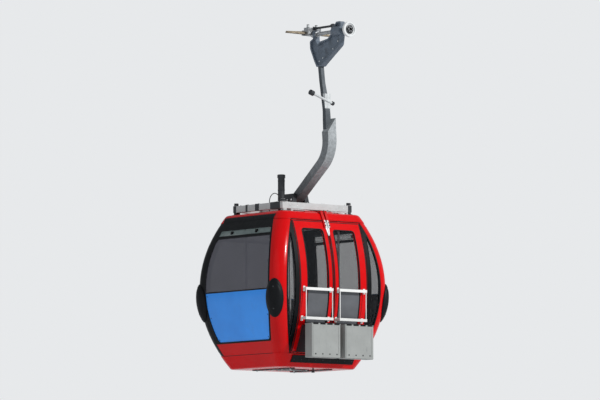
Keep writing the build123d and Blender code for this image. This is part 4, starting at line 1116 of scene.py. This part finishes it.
def dress_grip():
    """Bolts, springs and caps of the rope grip, and the wheel's hub."""
    bolts, springs, dark, hub, hub_bolts = shapes(5)
    for x in (-0.09, -0.03, 0.03, 0.09):
        bolts.bolt((x, 0.06, 0.035), INNER, 0.008)
        if abs(x) > 0.05:
            bolts.bolt((x, -0.085, 0.02), OUTER, 0.008)
    wire = [(0.003 * cos, 0.003 * sin) for cos, sin in circle(8)]
    for x in (-0.075, 0.075):
        place = Vector((x, -0.03, 0.093))
        dark.turned(place, UP, [(-0.002, 0.024), (0.006, 0.024), (0.009, 0.02)], 24)
        coil = []
        for turn, height in zip(spread(0, 6 * math.tau, 72), spread(0.01, 0.04, 72)):
            out = Vector((math.cos(turn), math.sin(turn), 0))
            coil.append((place + out * 0.016 + UP * height, out))
        springs.sweep(coil, wire)
        dark.turned(place, UP, [(0.042, 0.021), (0.046, 0.021), (0.049, 0.012)], 24)
        dark.rod(place, place + UP * 0.045, 0.007, 14)
    for cos, sin in circle(6):
        bolts.bolt((0.036 * cos, -0.898, 0.036 * sin), OUTER, 0.005)
    dark.turned((0, -0.905, 0), OUTER, [(-0.004, 0.022), (0.0, 0.022)], 24)
    bolts.finish("grip_bolts", "light_steel", "grip")
    springs.finish("grip_springs", "light_steel", "grip")
    dark.finish("grip_caps", "dark_steel", "grip")

    wheel_low, wheel_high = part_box("running_wheel")
    for y, out in ((wheel_low.y, -1), (wheel_high.y, 1)):
        hub.turned((0, y, 0), (0, out, 0), [(-0.026, 0.066), (-0.018, 0.066), (-0.014, 0.058)], 40)
        for cos, sin in circle(6, 0.5):
            hub_bolts.bolt((0.057 * cos, y - out * 0.018, 0.057 * sin), (0, out, 0), 0.004)
        cap = [(-0.014, 0.0486), (0.001, 0.0486), (0.003, 0.046), (0.003, 0.0268)]
        hub.turned((0, y, 0), (0, out, 0), cap, 40)
    hub.finish("wheel_hub", "dark_steel", "running_wheel")
    hub_bolts.finish("wheel_bolts", "light_steel", "running_wheel")


def on_bumper(x_side, y_side, part, cos, sin):
    """Foot on the corner, the way out of it and the pad's thickness, at a share of the oval's radius."""
    outward = Vector((x_side, y_side, 0)).normalized()
    across = Vector((x_side, -y_side, 0)).normalized()
    shift = BUMPER_SHIFT + BUMPER_HALF * part * cos
    height = BUMPER_LEVEL + BUMPER_RISE * part * sin
    lean = max(-DIAGONAL, min(DIAGONAL, shift / CORNER))
    deep = CORNER * math.sqrt(1 - lean ** 2) if abs(lean) < DIAGONAL else CORNER / DIAGONAL - abs(shift)
    way = (outward * math.sqrt(1 - lean ** 2) + across * lean).normalized()
    groove = 0.0025 * math.exp(-((part - BUMPER_GROOVE) / 0.03) ** 2)
    thick = BUMPER_RIM + (BUMPER_THICK - BUMPER_RIM) * (1 - part ** 2.2) ** 0.62 - groove
    return corner_centre(x_side, y_side, height) + outward * deep + across * shift, way, thick


def dress_bumpers():
    """Domed oval pads round the corners, their sunk screws, and the studs of the strip under the doors."""
    pads, screws, studs = shapes(3)
    rings, spokes = 9, 48
    shares = [math.sin(math.pi / 2 * k / rings) for k in range(1, rings + 1)]
    shares = sorted(shares + [BUMPER_GROOVE - 0.04, BUMPER_GROOVE, BUMPER_GROOVE + 0.04])
    for corner in BODY_CORNERS:
        foot, way, thick = on_bumper(*corner, 0, 1, 0)
        verts = [foot + way * thick]
        for share in shares:
            for spoke in circle(spokes):
                foot, way, thick = on_bumper(*corner, share, *spoke)
                verts.append(foot + way * thick)
        for spoke in circle(spokes):
            foot, way, _ = on_bumper(*corner, 1, *spoke)
            verts.append(foot - way * 0.002)
        middle = [(0, 1 + k, 1 + (k + 1) % spokes) for k in range(spokes)]
        back = tuple(range(len(verts) - spokes, len(verts)))
        pads.add(verts, middle + bands(len(shares) + 1, spokes, 1) + [back])
        for sin in (1, -1):
            foot, way, thick = on_bumper(*corner, BUMPER_SCREW, 0, sin)
            screws.turned(foot + way * thick, way, [(-0.006, 0.012), (0.0008, 0.012), (0.0014, 0.008)])
    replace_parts(pads.finish("bumper_pads", "black_rubber", sharp=50), "corner_bumpers")
    screws.finish("bumper_screws", "dark_steel")
    for k in range(9):
        studs.rivet(*on_front(0.13 * (k - 4), 0.11, 0.014), 0.007)
    studs.finish("strip_studs", "dark_steel")


camera = make_camera()
make_stage(camera)
dress_nodes()
dress_windows()
dress_shell()
dress_doors()
for _, name in DOOR_SIDES:
    dress_box(name)
    dress_rack(name)
dress_inside()
dress_roof()
dress_hanger()
dress_grip()
dress_bumpers()

bpy.context.view_layer.update()
